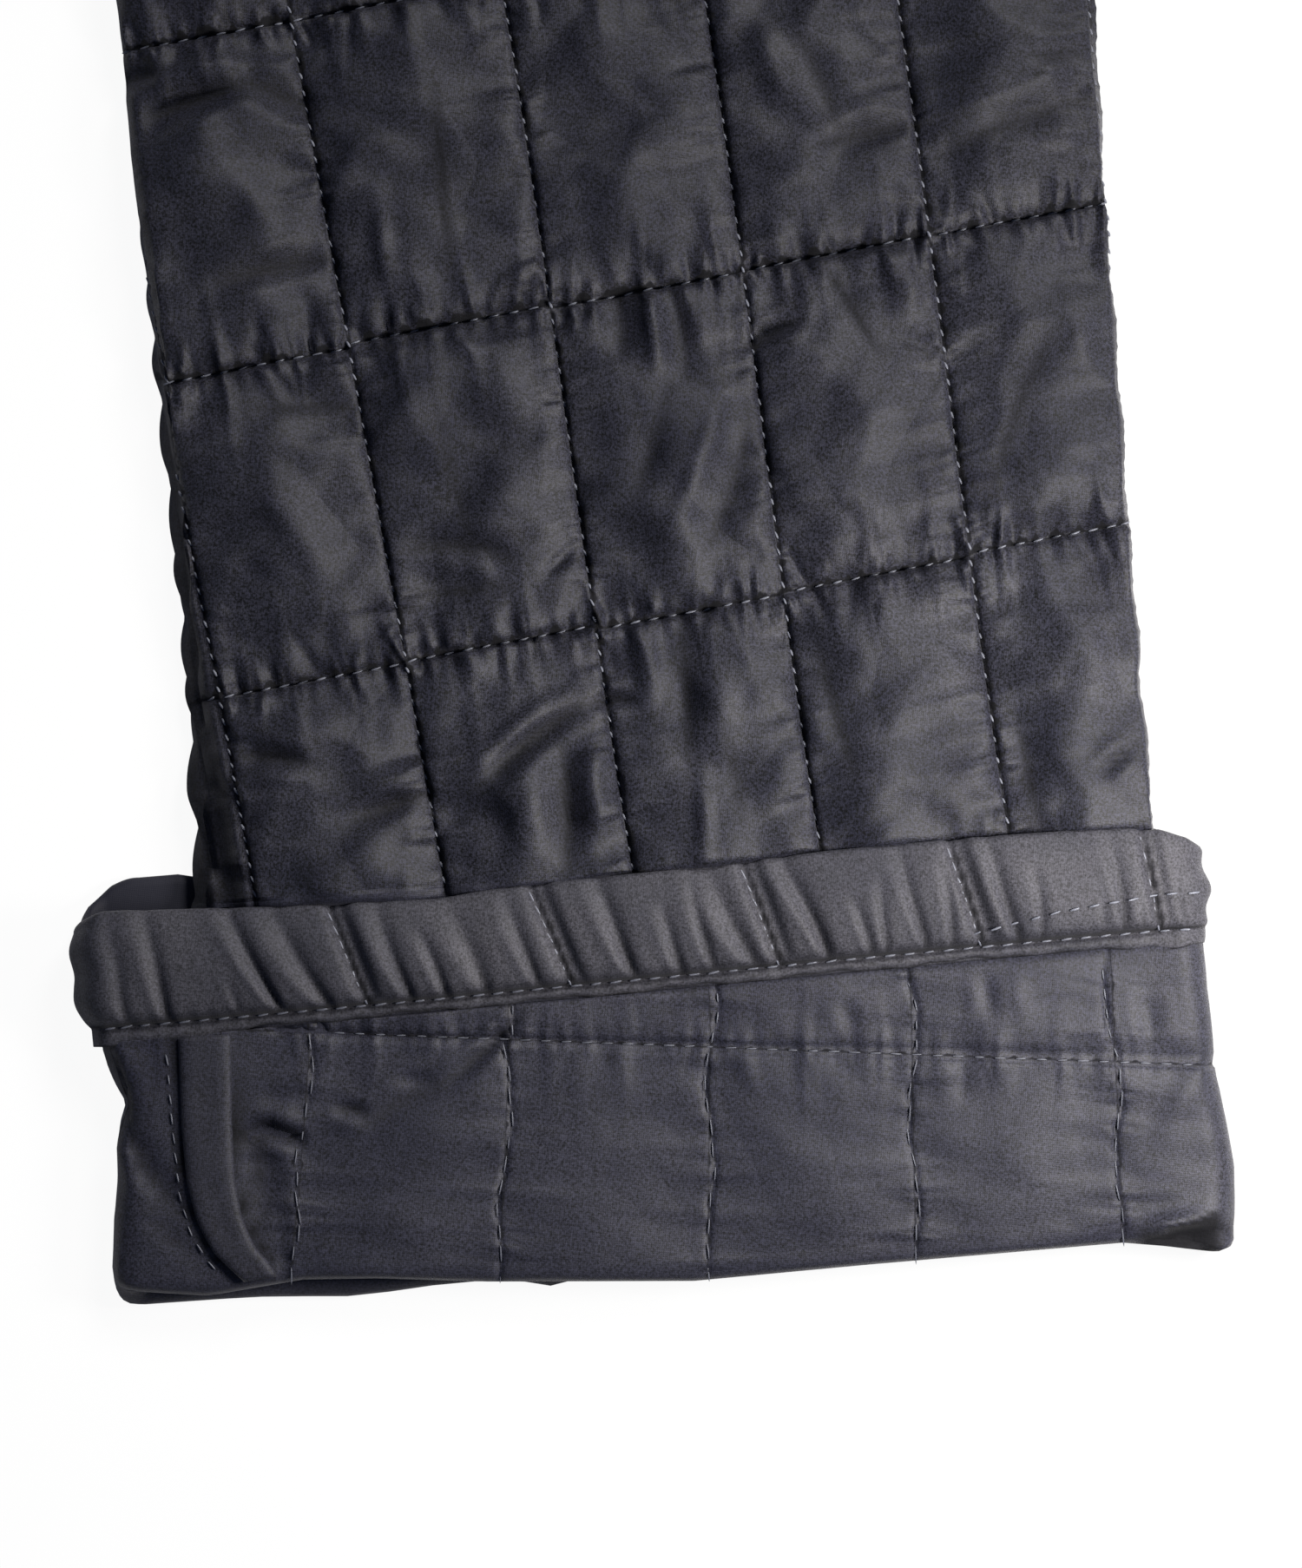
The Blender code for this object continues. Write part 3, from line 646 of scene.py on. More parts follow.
def quilt_boxes():
    """The settled boxes of the swatch, each an array of shifts from one corner of the box to the other."""
    x, y, z, stitched = swatch_grid()
    shift = settle_swatch(x, y, z, stitched)
    shift = smooth_swatch(shift, stitched, 4)
    boxes = []
    for row in range(SWATCH_ROWS):
        for column in range(SWATCH_COLUMNS):
            low_y, low_x = row * ROW_STEPS, column * COLUMN_STEPS
            boxes.append(shift[low_y : low_y + ROW_STEPS + 1, low_x : low_x + COLUMN_STEPS + 1])
    return np.array(boxes)


BOXES = quilt_boxes()


def quilt_shift(u, v, seed=0):
    """How the settled quilting moves each point: across, along and out, by the box that falls there."""
    column, row = np.floor(u).astype(int), np.floor(v).astype(int)
    pick = (column * 7 + row * 5 + column * row * 3 + seed) % len(BOXES)
    mirrored = (column * 3 + row + seed) % 2 == 0
    across = u - column
    across = np.where(mirrored, 1.0 - across, across) * COLUMN_STEPS
    up = (v - row) * ROW_STEPS
    low_x = np.clip(np.floor(across).astype(int), 0, COLUMN_STEPS - 1)
    low_y = np.clip(np.floor(up).astype(int), 0, ROW_STEPS - 1)
    part_x, part_y = (across - low_x)[..., None], (up - low_y)[..., None]
    shift = np.zeros((*np.shape(u), 3))
    for step_y, share_y in ((0, 1.0 - part_y), (1, part_y)):
        for step_x, share_x in ((0, 1.0 - part_x), (1, part_x)):
            shift += BOXES[pick, low_y + step_y, low_x + step_x] * share_x * share_y
    shift[..., 0] *= np.where(mirrored, -1.0, 1.0)
    return shift


def pillow(u, v, width, scalloped):
    """The puff of the padding in each box, pulled in along the stitching, most at each needle hole."""
    across, up = u % 1.0, v % 1.0
    broad = (16.0 * across * (1.0 - across) * up * (1.0 - up)) ** 0.62
    beside_column = np.abs(u - np.round(u)) * COLUMN
    beside_row = np.abs(v - np.round(v)) * ROW
    hole_down = 0.5 + 0.5 * np.cos(2.0 * np.pi * v * ROW / DOWN_PITCH)
    hole_across = 0.5 + 0.5 * np.cos(2.0 * np.pi * u * COLUMN / ACROSS_PITCH)
    uneven = 0.25 * np.sin(v * ROW * 0.71 + 3.0 * np.round(u))
    uneven += 0.25 * np.sin(u * COLUMN * 0.83 + 2.0 * np.round(v))
    column_width = width * (0.7 + (0.75 * hole_down + uneven) * scalloped)
    row_width = width * (1.1 + (1.6 * hole_across + 1.4 * uneven) * scalloped)
    free = (1.0 - np.exp(-beside_column / column_width)) * (1.0 - 1.8 * np.exp(-beside_row / row_width))
    return PUFF * broad + TRENCH_DEPTH * free


def make_puckers(seed):
    """Short folds that run away from the stitched lines of the rows near the cuff.

    Each has its place on the swatch's scale, its direction, length, half width, rise and slant.
    """
    draw = np.random.RandomState(seed)
    kinds = (
        # lines, along a row, start, end, gap, rise, length, half width, slant
        (4, True, -30.0, 155.0, (1.8, 6.0), (0.6, 1.5), (2.5, 9.5), (0.4, 1.0), 0.4),
        (6, False, -44.0, 145.0, (4.0, 13.0), (0.3, 1.0), (3.0, 10.0), (0.6, 1.4), 0.5),
    )
    puckers = []
    for lines, along_row, start, end, gap, rises, lengths, widths, most_slant in kinds:
        for line in range(lines):
            for side in (-1.0, 1.0):
                place = start
                while place < end:
                    place += draw.uniform(*gap)
                    rise = draw.choice((-1.0, 1.0), p=(0.6, 0.4)) * draw.uniform(*rises)
                    size = [draw.uniform(*ends) for ends in (lengths, widths)]
                    slant = draw.uniform(-most_slant, most_slant)
                    where = (place, line * ROW, 0.0, side) if along_row else (line * COLUMN, place, side, 0.0)
                    puckers.append((*where, *size, rise, slant))
    return np.array(puckers)


def pucker_rise(puckers, u, v):
    """How far the short folds lift the cloth at each point."""
    x0, y0, way_x, way_y, length, half_width, rise, slant = (column[:, None] for column in puckers.T)
    x, y = u[None] * COLUMN - x0, v[None] * ROW - y0
    run = x * way_x + y * way_y
    widening = 0.55 + 0.9 * np.clip(run / length, 0.0, 1.0)
    across = (x * way_y + y * way_x - slant * run) / (half_width * widening)
    fade = ramp(run, -0.2, 1.1) * np.clip(1.0 - run / length, 0.0, 1.0) ** 1.2
    return (rise * hill(across) * fade).sum(0)


def make_waves(seed, count, shortest, longest):
    """Directions, lengths and starts of a few gentle waves."""
    draw = np.random.RandomState(seed)
    ranges = ((shortest, longest), (0.0, np.pi), (0.0, 6.3))
    return [[draw.uniform(*ends) for ends in ranges] for _ in range(count)]


BROAD_WAVES = make_waves(11, 7, 30.0, 80.0)


def undulation(x, y):
    """Broad, low waves over the cloth, between about -1 and 1."""
    height = np.zeros(np.shape(x))
    for length, heading, start in BROAD_WAVES:
        height += np.sin((x * math.cos(heading) + y * math.sin(heading)) * 2.0 * math.pi / length + start)
    return height / math.sqrt(len(BROAD_WAVES)) / 1.4


ROW_JOGS = np.random.RandomState(3).uniform(-0.75, 0.75, (16, 16))


def row_jog(u, v):
    """How far the stitched row lines step up or down where they cross the column lines."""

    def line_jog(line):
        crossing = np.round(u)
        right = ramp(u - crossing, -0.045, 0.045)
        cell = crossing.astype(int)
        return ROW_JOGS[line % 16, (cell - 1) % 16] * (1.0 - right) + ROW_JOGS[line % 16, cell % 16] * right

    below = np.floor(v).astype(int)
    share = v - below
    return line_jog(below) * (1.0 - share) + line_jog(below + 1) * share


# ---------------------------------------------------------------- meshes


def sleeve_axes():
    """The corner of the sleeve's frame and its directions across and up, seen from above."""
    down = np.array((math.sin(SLEEVE_ANGLE), -math.cos(SLEEVE_ANGLE)))
    across = np.array((-down[1], down[0]))
    middle = (np.array(UNDERARM) + np.array(SHOULDER)) / 2.0
    return middle + down * SLEEVE_LENGTH, across, -down


def on_jacket(points, side=1, in_sleeve=True):
    """Points in millimetres, from the sleeve's or the body's frame, as world points in metres."""
    points = np.array(points, float)
    if in_sleeve:
        corner, across, up = sleeve_axes()
        flat = corner + points[..., :1] * across + points[..., 1:2] * up
        points = np.concatenate([flat, points[..., 2:]], -1)
    points = points - np.array((0.0, MIDDLE_Y, 0.0))
    return points * MM * np.array((side, 1.0, 1.0))


def add_piece(name, mesh, finish, sharp=None):
    """A smooth-shaded object with its place in its mesh."""
    mesh.materials.clear()
    mesh.materials.append(finish)
    mesh.shade_smooth()
    if sharp is not None:
        mesh.set_sharp_from_angle(angle=math.radians(sharp))
    return put_in_scene(name, mesh)


def mesh_of(name, points, faces, places=None):
    """A mesh of the faces, whose points that no face uses are dropped and whose faces point outwards.

    Places give each point's u, v, strength of the wrinkles and painted shade, kept for the finish.
    """
    used, renumbered = np.unique(np.concatenate([np.ravel(face) for face in faces]), return_inverse=True)
    start = 0
    tidy = []
    for face in faces:
        count = len(face)
        tidy.append(renumbered[start : start + count].tolist())
        start += count
    mesh = bpy.data.meshes.new(name)
    mesh.from_pydata(points[used].tolist(), [], tidy)
    if places is not None:
        kept = mesh.attributes.new("quilt_place", "FLOAT_VECTOR", "POINT")
        kept.data.foreach_set("vector", places[used][:, :3].ravel().astype(np.float32))
        kept = mesh.attributes.new("quilt_shade", "FLOAT", "POINT")
        kept.data.foreach_set("value", places[used][:, 3].astype(np.float32))
    bm = bmesh.new()
    bm.from_mesh(mesh)
    bmesh.ops.recalc_face_normals(bm, faces=bm.faces)
    bm.to_mesh(mesh)
    bm.free()
    return mesh


def grid_faces(index, close_across, close_along):
    """Quads over a grid of point numbers, and triangles where two of the corners are one point."""
    rows = np.concatenate([index, index[:1]]) if close_along else index
    if close_across:
        rows = np.concatenate([rows, rows[:, :1]], 1)
    quads = np.stack([rows[:-1, :-1], rows[:-1, 1:], rows[1:, 1:], rows[1:, :-1]], -1).reshape(-1, 4)
    faces = []
    for quad in quads.tolist():
        corners = [corner for place, corner in enumerate(quad) if corner != quad[place - 1]]
        if len(corners) == 4 and len(set(corners)) == 4 or len(corners) == 3:
            faces.append(corners)
    return faces


def ring_piece(name, rings, finish, side=1, in_sleeve=False, sharp=None):
    """A piece whose skin runs from ring to ring, with a face over each end."""
    grid = np.array(rings)
    index = np.arange(grid.shape[0] * grid.shape[1]).reshape(grid.shape[:2])
    faces = grid_faces(index, True, False) + [index[0].tolist(), index[-1][::-1].tolist()]
    mesh = mesh_of(name, on_jacket(grid.reshape(-1, 3), side, in_sleeve), faces)
    return add_piece(name, mesh, finish, sharp)


# ---------------------------------------------------------------- the sleeve


def column_line(columns, u, h, strays=False):
    """Where column line u, or a place between two lines, lies across at height h."""
    first, width = along(columns, h)
    stray = np.interp(u, *np.array(COLUMN_STRAY).T) * ramp(h, 60.0, 187.0) if strays else 0.0
    return first + u * width + stray


def sleeve_outer(h):
    return along(SLEEVE_SECTIONS, h)


def cuff_outer(h):
    return along(CUFF_SECTIONS, h)


def one_wall_in(left, right, floor, roof):
    return left + WALL, right - WALL, floor + WALL, roof - WALL


def sleeve_inner(h):
    return one_wall_in(*sleeve_outer(h))


def cuff_inner(h):
    return one_wall_in(*cuff_outer(np.maximum(h, 2.5)))


def wrap_round(flat, left, right, floor, roof):
    """Lays flat places across the cloth round the tube's sides. Returns t, z and the way out of the cloth."""
    radius = (roof - floor) / 2.0
    past_left = np.maximum(left + radius - flat, 0.0)
    past_right = np.maximum(flat - right + radius, 0.0)
    side = np.where(past_left > 0.0, -1.0, np.where(past_right > 0.0, 1.0, 0.0))
    past = past_left + past_right
    turn = np.minimum(past / radius, math.pi)
    beyond = np.maximum(past - math.pi * radius, 0.0)
    corner = np.where(side < 0.0, left + radius, right - radius)
    t = np.where(side == 0.0, flat, corner + side * (radius * np.sin(turn) - beyond))
    return t, (roof + floor) / 2.0 + radius * np.cos(turn), side * np.sin(turn), np.cos(turn)


def step_left_edge(t, h, z, out_t):
    """Draws the upper layer in along the left edge, so that the lower one shows beyond it, scalloped."""
    step = along(LAYER_STEP, h)[0]
    floor = sleeve_outer(h)[2]
    upper = ramp(z, floor + 1.5, floor + 2.6)
    near = ramp(-out_t, 0.0, 0.35)
    scallop = 0.7 * np.abs(np.sin(h * 0.31 + 0.4 * np.sin(h * 0.13))) - 0.3
    return t + step * near * upper - scallop * near * (1.0 - upper) * (step > 0.0)


def settle_sides(u, t, h, z, out_t, out_z, moved):
    """Moves points of the sleeve's outside by the relief, which fades round its sides and past line 0."""
    shown = along(LAYER_STEP, h)[0] / 2.0
    beyond = ramp(-u, 0.0, 0.15) * shown
    held = ramp(out_z, -0.5, 0.4) * (1.0 - beyond)
    rise = moved[:, 2] * held - 1.7 * beyond * ramp(out_z, 0.0, 0.4)
    t = step_left_edge(t, h, z, out_t)
    notch = 0.9 + 0.12 * np.cos(2.0 * np.pi * h / DOWN_PITCH) * np.sin(h * 0.9) + 0.2 * np.sin(h * 0.41)
    t = t + moved[:, 0] * held * out_z + rise * out_t * 0.1 - notch * ramp(out_t, 0.0, 0.9)
    return t, z - moved[:, 0] * held * out_t + rise * out_z, held


SLEEVE_PUCKERS = make_puckers(21)
# The seed of the sleeve that the camera sees, whose stitching is puckered.
NEAR_SEED = 0
CRUMPLE_CELLS = 64


def sleeve_shift(u, v, t, h, seed):
    """How the quilting and the creases of the sleeve's top move each point: across, along and out."""
    near = 1.0 - ramp(v, 2.05, 2.2) if seed == NEAR_SEED else 0.0 * v
    shift = quilt_shift(u, v, seed) * 0.55
    shift[..., 2] += pillow(u, v, TRENCH_WIDTH + 1.4 * (1.0 - near), near) + 0.35 * undulation(t, h)
    away = np.minimum(np.abs(u - np.round(u)) * COLUMN, np.abs(v - np.round(v)) * ROW)
    held = 1.0 - np.exp(-away / 2.2)
    shift[..., 2] += crumpled(u * COLUMN, v * ROW, seed) * held
    shift[..., 2] += 1.35 * crease_rise(SLEEVE_CREASES, t, h)
    if seed == NEAR_SEED and np.min(v) < 2.4:
        shift[..., 2] += pucker_rise(SLEEVE_PUCKERS, u, v) * near
    edge = BAND_TOP + along(HEM_TOP, t)[0]
    return shift * ramp(h, edge - 0.7, edge + 0.7)[..., None]


def crumple(x, y, spacing, seed, steepness):
    """Shallow hollows of uneven size that meet in sharp ridges, as in slack nylon. Between 0 and about 1."""
    draw = np.random.RandomState(seed)
    away_x, away_y, start = draw.uniform(0.1, 0.9, (3, CRUMPLE_CELLS, CRUMPLE_CELLS))
    bent_x = (x + 1.6 * np.sin(y * 0.23 + seed) + 0.8 * np.sin(y * 0.57)) / spacing + 20.0
    bent_y = (y + 1.6 * np.sin(x * 0.21 + 2.0 * seed) + 0.8 * np.sin(x * 0.53)) / spacing + 20.0
    cell_x, cell_y = np.floor(bent_x).astype(int), np.floor(bent_y).astype(int)
    total = np.zeros(np.shape(x))
    for step_x in (-1, 0, 1):
        for step_y in (-1, 0, 1):
            pick = ((cell_x + step_x) % CRUMPLE_CELLS, (cell_y + step_y) % CRUMPLE_CELLS)
            far_x = bent_x - cell_x - step_x - away_x[pick]
            far_y = bent_y - cell_y - step_y - away_y[pick]
            total += np.exp(-steepness * (far_x * far_x + far_y * far_y + 0.3 * start[pick]))
    return -np.log(total + 1e-9) / steepness


def crumpled(x, y, seed):
    """The crumpling of a puffed panel: broad hollows under ridges and smaller swellings over troughs."""
    hollows = crumple(x * 1.25, y, 17.0, seed + 1, 34.0) - 0.3
    swellings = crumple(x, y * 1.3, 10.5, seed + 2, 26.0) - 0.3
    small = crumple(x * 0.8, y * 1.2, 4.6, seed + 3, 14.0) - 0.3
    patches = ramp(undulation(x * 2.3 + 11.0, y * 2.3), -0.2, 0.6)
    return 2.5 * hollows - 0.9 * swellings + 0.35 * small * patches


def cross_line(t):
    """The height of the stitched line across the cuff."""
    return CUFF_LINE_H + CUFF_LINE_LEAN * t


def cuff_rows(t, h):
    """The cuff's place in rows: -1 some way round the fold, 0 on its stitched line and on up to its edge."""
    line = cross_line(t)
    return np.where(h < line, 0.85 * (h / line - 1.0), (h - line) / 24.0)


def cuff_wander(line, h, t):
    """How far a line down the cuff strays from its even place, in columns. It steps at the cross line."""
    above = ramp(h - cross_line(t), -0.4, 0.4)
    wave = (0.024 * np.sin(h * 0.24 + line * 2.1) + 0.006 * np.sin(h * 0.83 + line)) * ramp(h, 3.0, 9.0)
    return wave + above * (0.055 - 0.018 * line)


def cuff_shift(u, v, t, h, seed):
    """How the flatter quilting and the creases of the cuff's face move each point."""
    rows = cuff_rows(t, h)
    shift = quilt_shift(u, np.clip(rows, -0.999, 0.999), seed + 4) * 0.16
    beside_seam = ramp(t, -57.0, -46.0)
    shift *= beside_seam[..., None]
    line = np.round(u)
    jag = 0.14 * np.sin(2.0 * np.pi * h / CUFF_DOWN_PITCH) + 0.1 * np.sin(h * 4.1 + line)
    aside = np.abs((u - line - cuff_wander(line, h, t)) * COLUMN + jag)
    lined = beside_seam * (line >= 0.0) * (line < 5.0)
    width = 0.3 + 0.12 * np.cos(2.0 * np.pi * h / CUFF_DOWN_PITCH)
    depth = 0.62 + 0.25 * np.sin(h * 0.37 + 2.0 * line)
    shift[..., 2] -= lined * depth * np.exp(-aside / width)
    above = (h - cross_line(t)) * (t > -56.0)
    width = 0.55 + 0.25 * np.cos(2.0 * np.pi * t / STITCH_PITCH)
    reach = np.where(above > 0.0, 1.2 * width, 0.5 * width)
    shift[..., 2] -= 1.2 * ramp(t, -58.0, -54.0) * np.exp(-np.abs(above) / reach)
    shift[..., 2] += 0.3 * undulation(t * 1.3 + 40.0, h * 1.3) * ramp(h, 1.0, 9.0) + 0.1
    shift[..., 2] += crease_rise(CUFF_CREASES, t, h)
    return shift


def no_shift(u, v, t, h, seed):
    return np.zeros((*np.shape(t), 3))


def crowd(count, crowding):
    """Places from 0 to below 1, closer together towards both ends."""
    place = np.arange(count) / count
    return place - crowding * np.sin(2.0 * np.pi * place) / (2.0 * np.pi)


# The parts of a column at which the upper sleeve and the inside keep a point.
KEPT_SHARES = (0.0, 0.045, 0.2, 0.5, 0.8, 0.955)


class Weave:
    """How a sleeve's points are spread: across by column, in steps up a row, and which are kept higher up."""

    def __init__(self, seed, column_steps, row_steps, under_points):
        self.seed = seed
        self.row_steps = row_steps
        places, kept = [], []
        for column in range(-2, 8):
            count = column_steps if 0 <= column <= 4 else 8
            if column == -1:
                count = column_steps // 3 + 2
            steps = crowd(count, 0.45)
            steps = steps[(column + steps > -1.6) & (column + steps < 7.35)]
            marks = {int(np.argmin(np.abs(steps - share))) for share in KEPT_SHARES}
            kept += [place in marks for place in range(len(steps))]
            places += (column + steps).tolist()
        self.across = np.array(places)
        kept[0] = True
        kept += [True] * under_points
        last = 0
        self.merged = []
        for place, keep in enumerate(kept):
            last = place if keep else last
            self.merged.append(last)
        self.under = np.arange(1, under_points + 1) / (under_points + 1.0)


# Where the cuff's places in rows start, well away from the sleeve's.
CUFF_PLACE = 20.0
# The strength of the wrinkles on the cuff's face, where the sleeve's is 1.
CUFF_WRINKLES = 0.4


def fold_rise(t, z):
    """How far the fold's edge lies from a straight line. The lower layer's shows beyond the upper one's."""
    upper = ramp(z, 2.0, 5.0)
    straight = along(FOLD_EDGE, t)[0]
    lower = -1.8 * hill(t + 19.0, 3.4) - 0.9 * hill(t + 47.0, 9.0)
    return straight * upper + lower * (1.0 - upper)


def ring_shade(u, t, h, section, is_sleeve):
    """The painted shade in the creases of a ring, with painted shadows beside the cuff's seam strip and past
    line 0.
    """
    if is_sleeve:
        return np.maximum(crease_shade(SLEEVE_CREASES, t, h), 0.45 * ramp(-u, 0.0, 0.12) * (h < 140.0))
    if section is not cuff_outer:
        return np.zeros(len(t))
    first, last = along(SEAM_STRIP, h)[:2]
    beside = hill(t - last - 0.3, 0.7) + hill(t - first + 0.2, 0.6)
    beside = 0.85 * beside * ramp(h, 2.0, 5.0) * (t < -40.0)
    return np.maximum(crease_shade(CUFF_CREASES, t, h), beside)


def tuck_shade(t, h, z):
    """The shadow under the small tuck at the lower right of the cuff."""
    below = ramp(0.25 * (t - 64.4) - h, 0.0, 0.4)
    return 0.85 * below * ramp(t, 66.0, 70.0) * ramp(81.0 - t, 0.0, 1.5) * (z > 2.0)


def sleeve_ring(weave, h_middle, lean, section, columns, shift, top=None, strays=False, folded=0.0):
    """One ring of points round the flattened tube, in a leaning upright plane and nowhere higher than top.

    Each point has t, h, z, its u and v, the strength of its wrinkles, and its painted shade.
    """
    u = weave.across
    on_cuff = columns is CUFF_COLUMNS
    is_sleeve = section is sleeve_outer and h_middle > BAND_TOP

    def height(t):
        h = h_middle + lean * t
        return h if top is None else np.minimum(h, top(t))

    def with_under(values):
        return np.concatenate([values, values[-1] + (values[0] - values[-1]) * weave.under])

    t = column_line(columns, u, h_middle, strays)
    for _ in range(5):
        h = height(t)
        t, z, out_t, out_z = wrap_round(column_line(columns, u, h, strays), *section(h))
    v = (h - GRID_LEAN * t - FIRST_ROW_H) / ROW
    if is_sleeve:
        h = h + row_jog(u, v) * ramp(h, BAND_TOP, 80.0)
    moved = shift(u, v, t, h, weave.seed)
    shade = ring_shade(u, t, h, section, is_sleeve)
    if section is sleeve_outer:
        t, z, held = settle_sides(u, t, h, z, out_t, out_z, moved)
    else:
        held = ramp(out_z, -0.5, 0.4)
        t = t + moved[:, 0] * held * out_z + moved[:, 2] * held * out_t * 0.4
        t = t + along(CUFF_LEFT, h)[0] * ramp(-out_t, 0.0, 0.7)
        z = z - moved[:, 0] * held * out_t + moved[:, 2] * held * out_z
    if on_cuff:
        v = CUFF_PLACE + (h - cross_line(t)) / CUFF_ROW
    h = h + moved[:, 1] * held
    t, under = with_under(t), slice(len(u), None)
    under_h = height(t[under])
    h, z = np.concatenate([h, under_h]), np.concatenate([z, section(under_h)[2]])
    if folded > 0.0:
        h = h + folded * fold_rise(t, z)
    shade = np.concatenate([shade, np.zeros(len(weave.under))])
    strength = float(h_middle > BAND_TOP)
    if on_cuff:
        strength = CUFF_WRINKLES * (section is cuff_outer)
        shade = np.maximum(shade, tuck_shade(t, h, z))
    return np.stack([t, h, z, with_under(u), with_under(v), np.full(len(t), strength), shade], -1)


def armhole(offset):
    """The armhole from below the underarm to above the shoulder, moved towards the body by offset."""
    start, end = np.array(UNDERARM), np.array(SHOULDER)
    run = end - start
    side = np.array((-run[1], run[0])) / np.hypot(*run)
    shares = np.linspace(0.0, 1.0, 33)[:, None]
    return start + run * shares + side * (ARMHOLE_HOLLOW * 4.0 * shares * (1.0 - shares) + offset)


def armhole_height(t):
    """The height of the armhole seam in the sleeve's frame."""
    corner, across, up = sleeve_axes()
    seam = armhole(SEAM_GAP / 3.0) - corner
    seam_t, seam_h = seam @ across, seam @ up
    rise_before = (seam_h[1] - seam_h[0]) / (seam_t[1] - seam_t[0])
    rise_after = (seam_h[-1] - seam_h[-2]) / (seam_t[-1] - seam_t[-2])
    height = np.interp(t, seam_t, seam_h)
    height += np.minimum(t - seam_t[0], 0.0) * rise_before + np.maximum(t - seam_t[-1], 0.0) * rise_after
    return height


def trim_to_armhole(rings, merged, merged_from):
    """Ends each column of points on the armhole seam. The rings run up. Returns the points and their numbers.

    From ring merged_from up, points that the weave doesn't keep fall together with the kept one beside them.
    """
    grid = np.array(rings)
    over = grid[..., 1] - armhole_height(grid[..., 0])
    rows, count = over.shape
    index = np.arange(rows * count).reshape(rows, count)
    for place in range(count):
        beyond = np.nonzero(over[:, place] > 0.0)[0]
        if not len(beyond):
            continue
        first = beyond[0]
        if first > 0:
            share = over[first - 1, place] / (over[first - 1, place] - over[first, place])
            grid[first, place] = grid[first - 1, place] * (1.0 - share) + grid[first, place] * share
        index[first:, place] = index[first, place]
    index[merged_from:] = index[merged_from:, merged]
    return grid, index


def sleeve_rings(weave):
    """The rings of the sleeve's one wall: up its outside, down the cuff's inside and face, and up inside."""
    rows = np.concatenate([row + crowd(weave.row_steps, 0.3) for row in range(-1, 3)])
    upper = np.concatenate([row + crowd(10, 0.4) for row in range(2, 12)])
    rows = np.concatenate([rows[(rows > -0.82) & (rows < 2.2)], upper[upper > 2.21]])
    heights = [float(h) for h in FIRST_ROW_H + rows * ROW if h < SLEEVE_TOP + 20.0]

    def rings(section, columns, shift, places, **more):
        return [sleeve_ring(weave, h, lean, section, columns, shift, **more) for h, lean in places]

    under_cuff = [(h, 0.0) for h in (2.6, 14.0, 34.0, 39.5, 54.0)]
    puffed = [(h, GRID_LEAN * float(ramp(h, 56.0, 92.0))) for h in heights]
    outside = rings(sleeve_outer, SLEEVE_COLUMNS, no_shift, under_cuff, strays=True)
    outside += rings(sleeve_outer, SLEEVE_COLUMNS, sleeve_shift, puffed, strays=True)
    turned_back = [(2.6, 0.0), (14.0, 0.0), (34.0, 0.0), (CUFF_EDGE_H, CUFF_EDGE_LEAN)]
    cuff = rings(cuff_inner, CUFF_COLUMNS, no_shift, turned_back) + cuff_face_rings(weave)
    upright = [(h, 0.0) for h in (12.0, 34.0, 39.5, 60.0, 90.0)]
    leaning = [(h, GRID_LEAN) for h in (150.0, 220.0, 300.0, 380.0, 460.0, 533.0, 600.0, 655.0)]
    inside = rings(sleeve_inner, SLEEVE_COLUMNS, no_shift, [(4.0, 0.0)], strays=True, folded=1.0)
    inside += rings(sleeve_inner, SLEEVE_COLUMNS, no_shift, upright + leaning, strays=True)
    return outside, cuff, inside


def cuff_face_rings(weave):
    """Rings down the cuff's face, with one along its stitched line, and round the fold."""
    rings = []
    above, below = round(weave.row_steps * 0.13), round(weave.row_steps * 0.5)
    for place in range(above + below + 1):

        def top(t, place=place):
            edge = CUFF_EDGE_H + CUFF_EDGE_LEAN * t
            line = cross_line(t)
            if place <= above:
                height = edge + (line - edge) * place / above
            else:
                height = line + (3.2 - line) * (place - above) / below
            return np.minimum(height, edge - 0.16 * place)

        folded = float(ramp(place, above + below * 0.55, above + below))
        ring = sleeve_ring(weave, 200.0, 0.0, cuff_outer, CUFF_COLUMNS, cuff_shift, top=top, folded=folded)
        rings.append(ring)
    for place in range(1, 8):
        turn = math.pi * place / 8.0
        share = (1.0 - math.cos(turn)) / 2.0

        def section(h, share=share):
            outer, inner = cuff_outer(np.full(np.shape(h), 3.2)), sleeve_inner(np.zeros(np.shape(h)))
            return [a * (1.0 - share) + b * share for a, b in zip(outer, inner)]

        h = 2.2 - 2.2 * math.sin(turn)
        shift = cuff_shift if place < 3 else no_shift
        rings.append(sleeve_ring(weave, h, 0.0, section, CUFF_COLUMNS, shift, folded=1.0))
    return rings


def build_sleeve(name, side, weave, finish):
    """One sleeve as a closed wall, ended at its armhole seam."""
    outside, cuff, inside = sleeve_rings(weave)
    fine_rings = sum(ring[0, 1] - GRID_LEAN * ring[0, 0] < FIRST_ROW_H + 2.22 * ROW for ring in outside)
    outer, outer_index = trim_to_armhole(outside, weave.merged, fine_rings)
    inner, inner_index = trim_to_armhole(inside, weave.merged, 1)
    middle = np.array(cuff)
    count = outer.shape[1]
    points = np.concatenate([part.reshape(-1, part.shape[-1]) for part in (outer, middle, inner)])
    middle_index = outer.shape[0] * count + np.arange(middle.shape[0] * count).reshape(-1, count)
    inner_index = inner_index + (outer.shape[0] + middle.shape[0]) * count
    index = np.concatenate([outer_index[::-1], middle_index, inner_index])
    faces = grid_faces(index, True, True)
    mesh = mesh_of(name, on_jacket(points[:, :3], side), faces, points[:, 3:])
    return add_piece(name, mesh, finish)


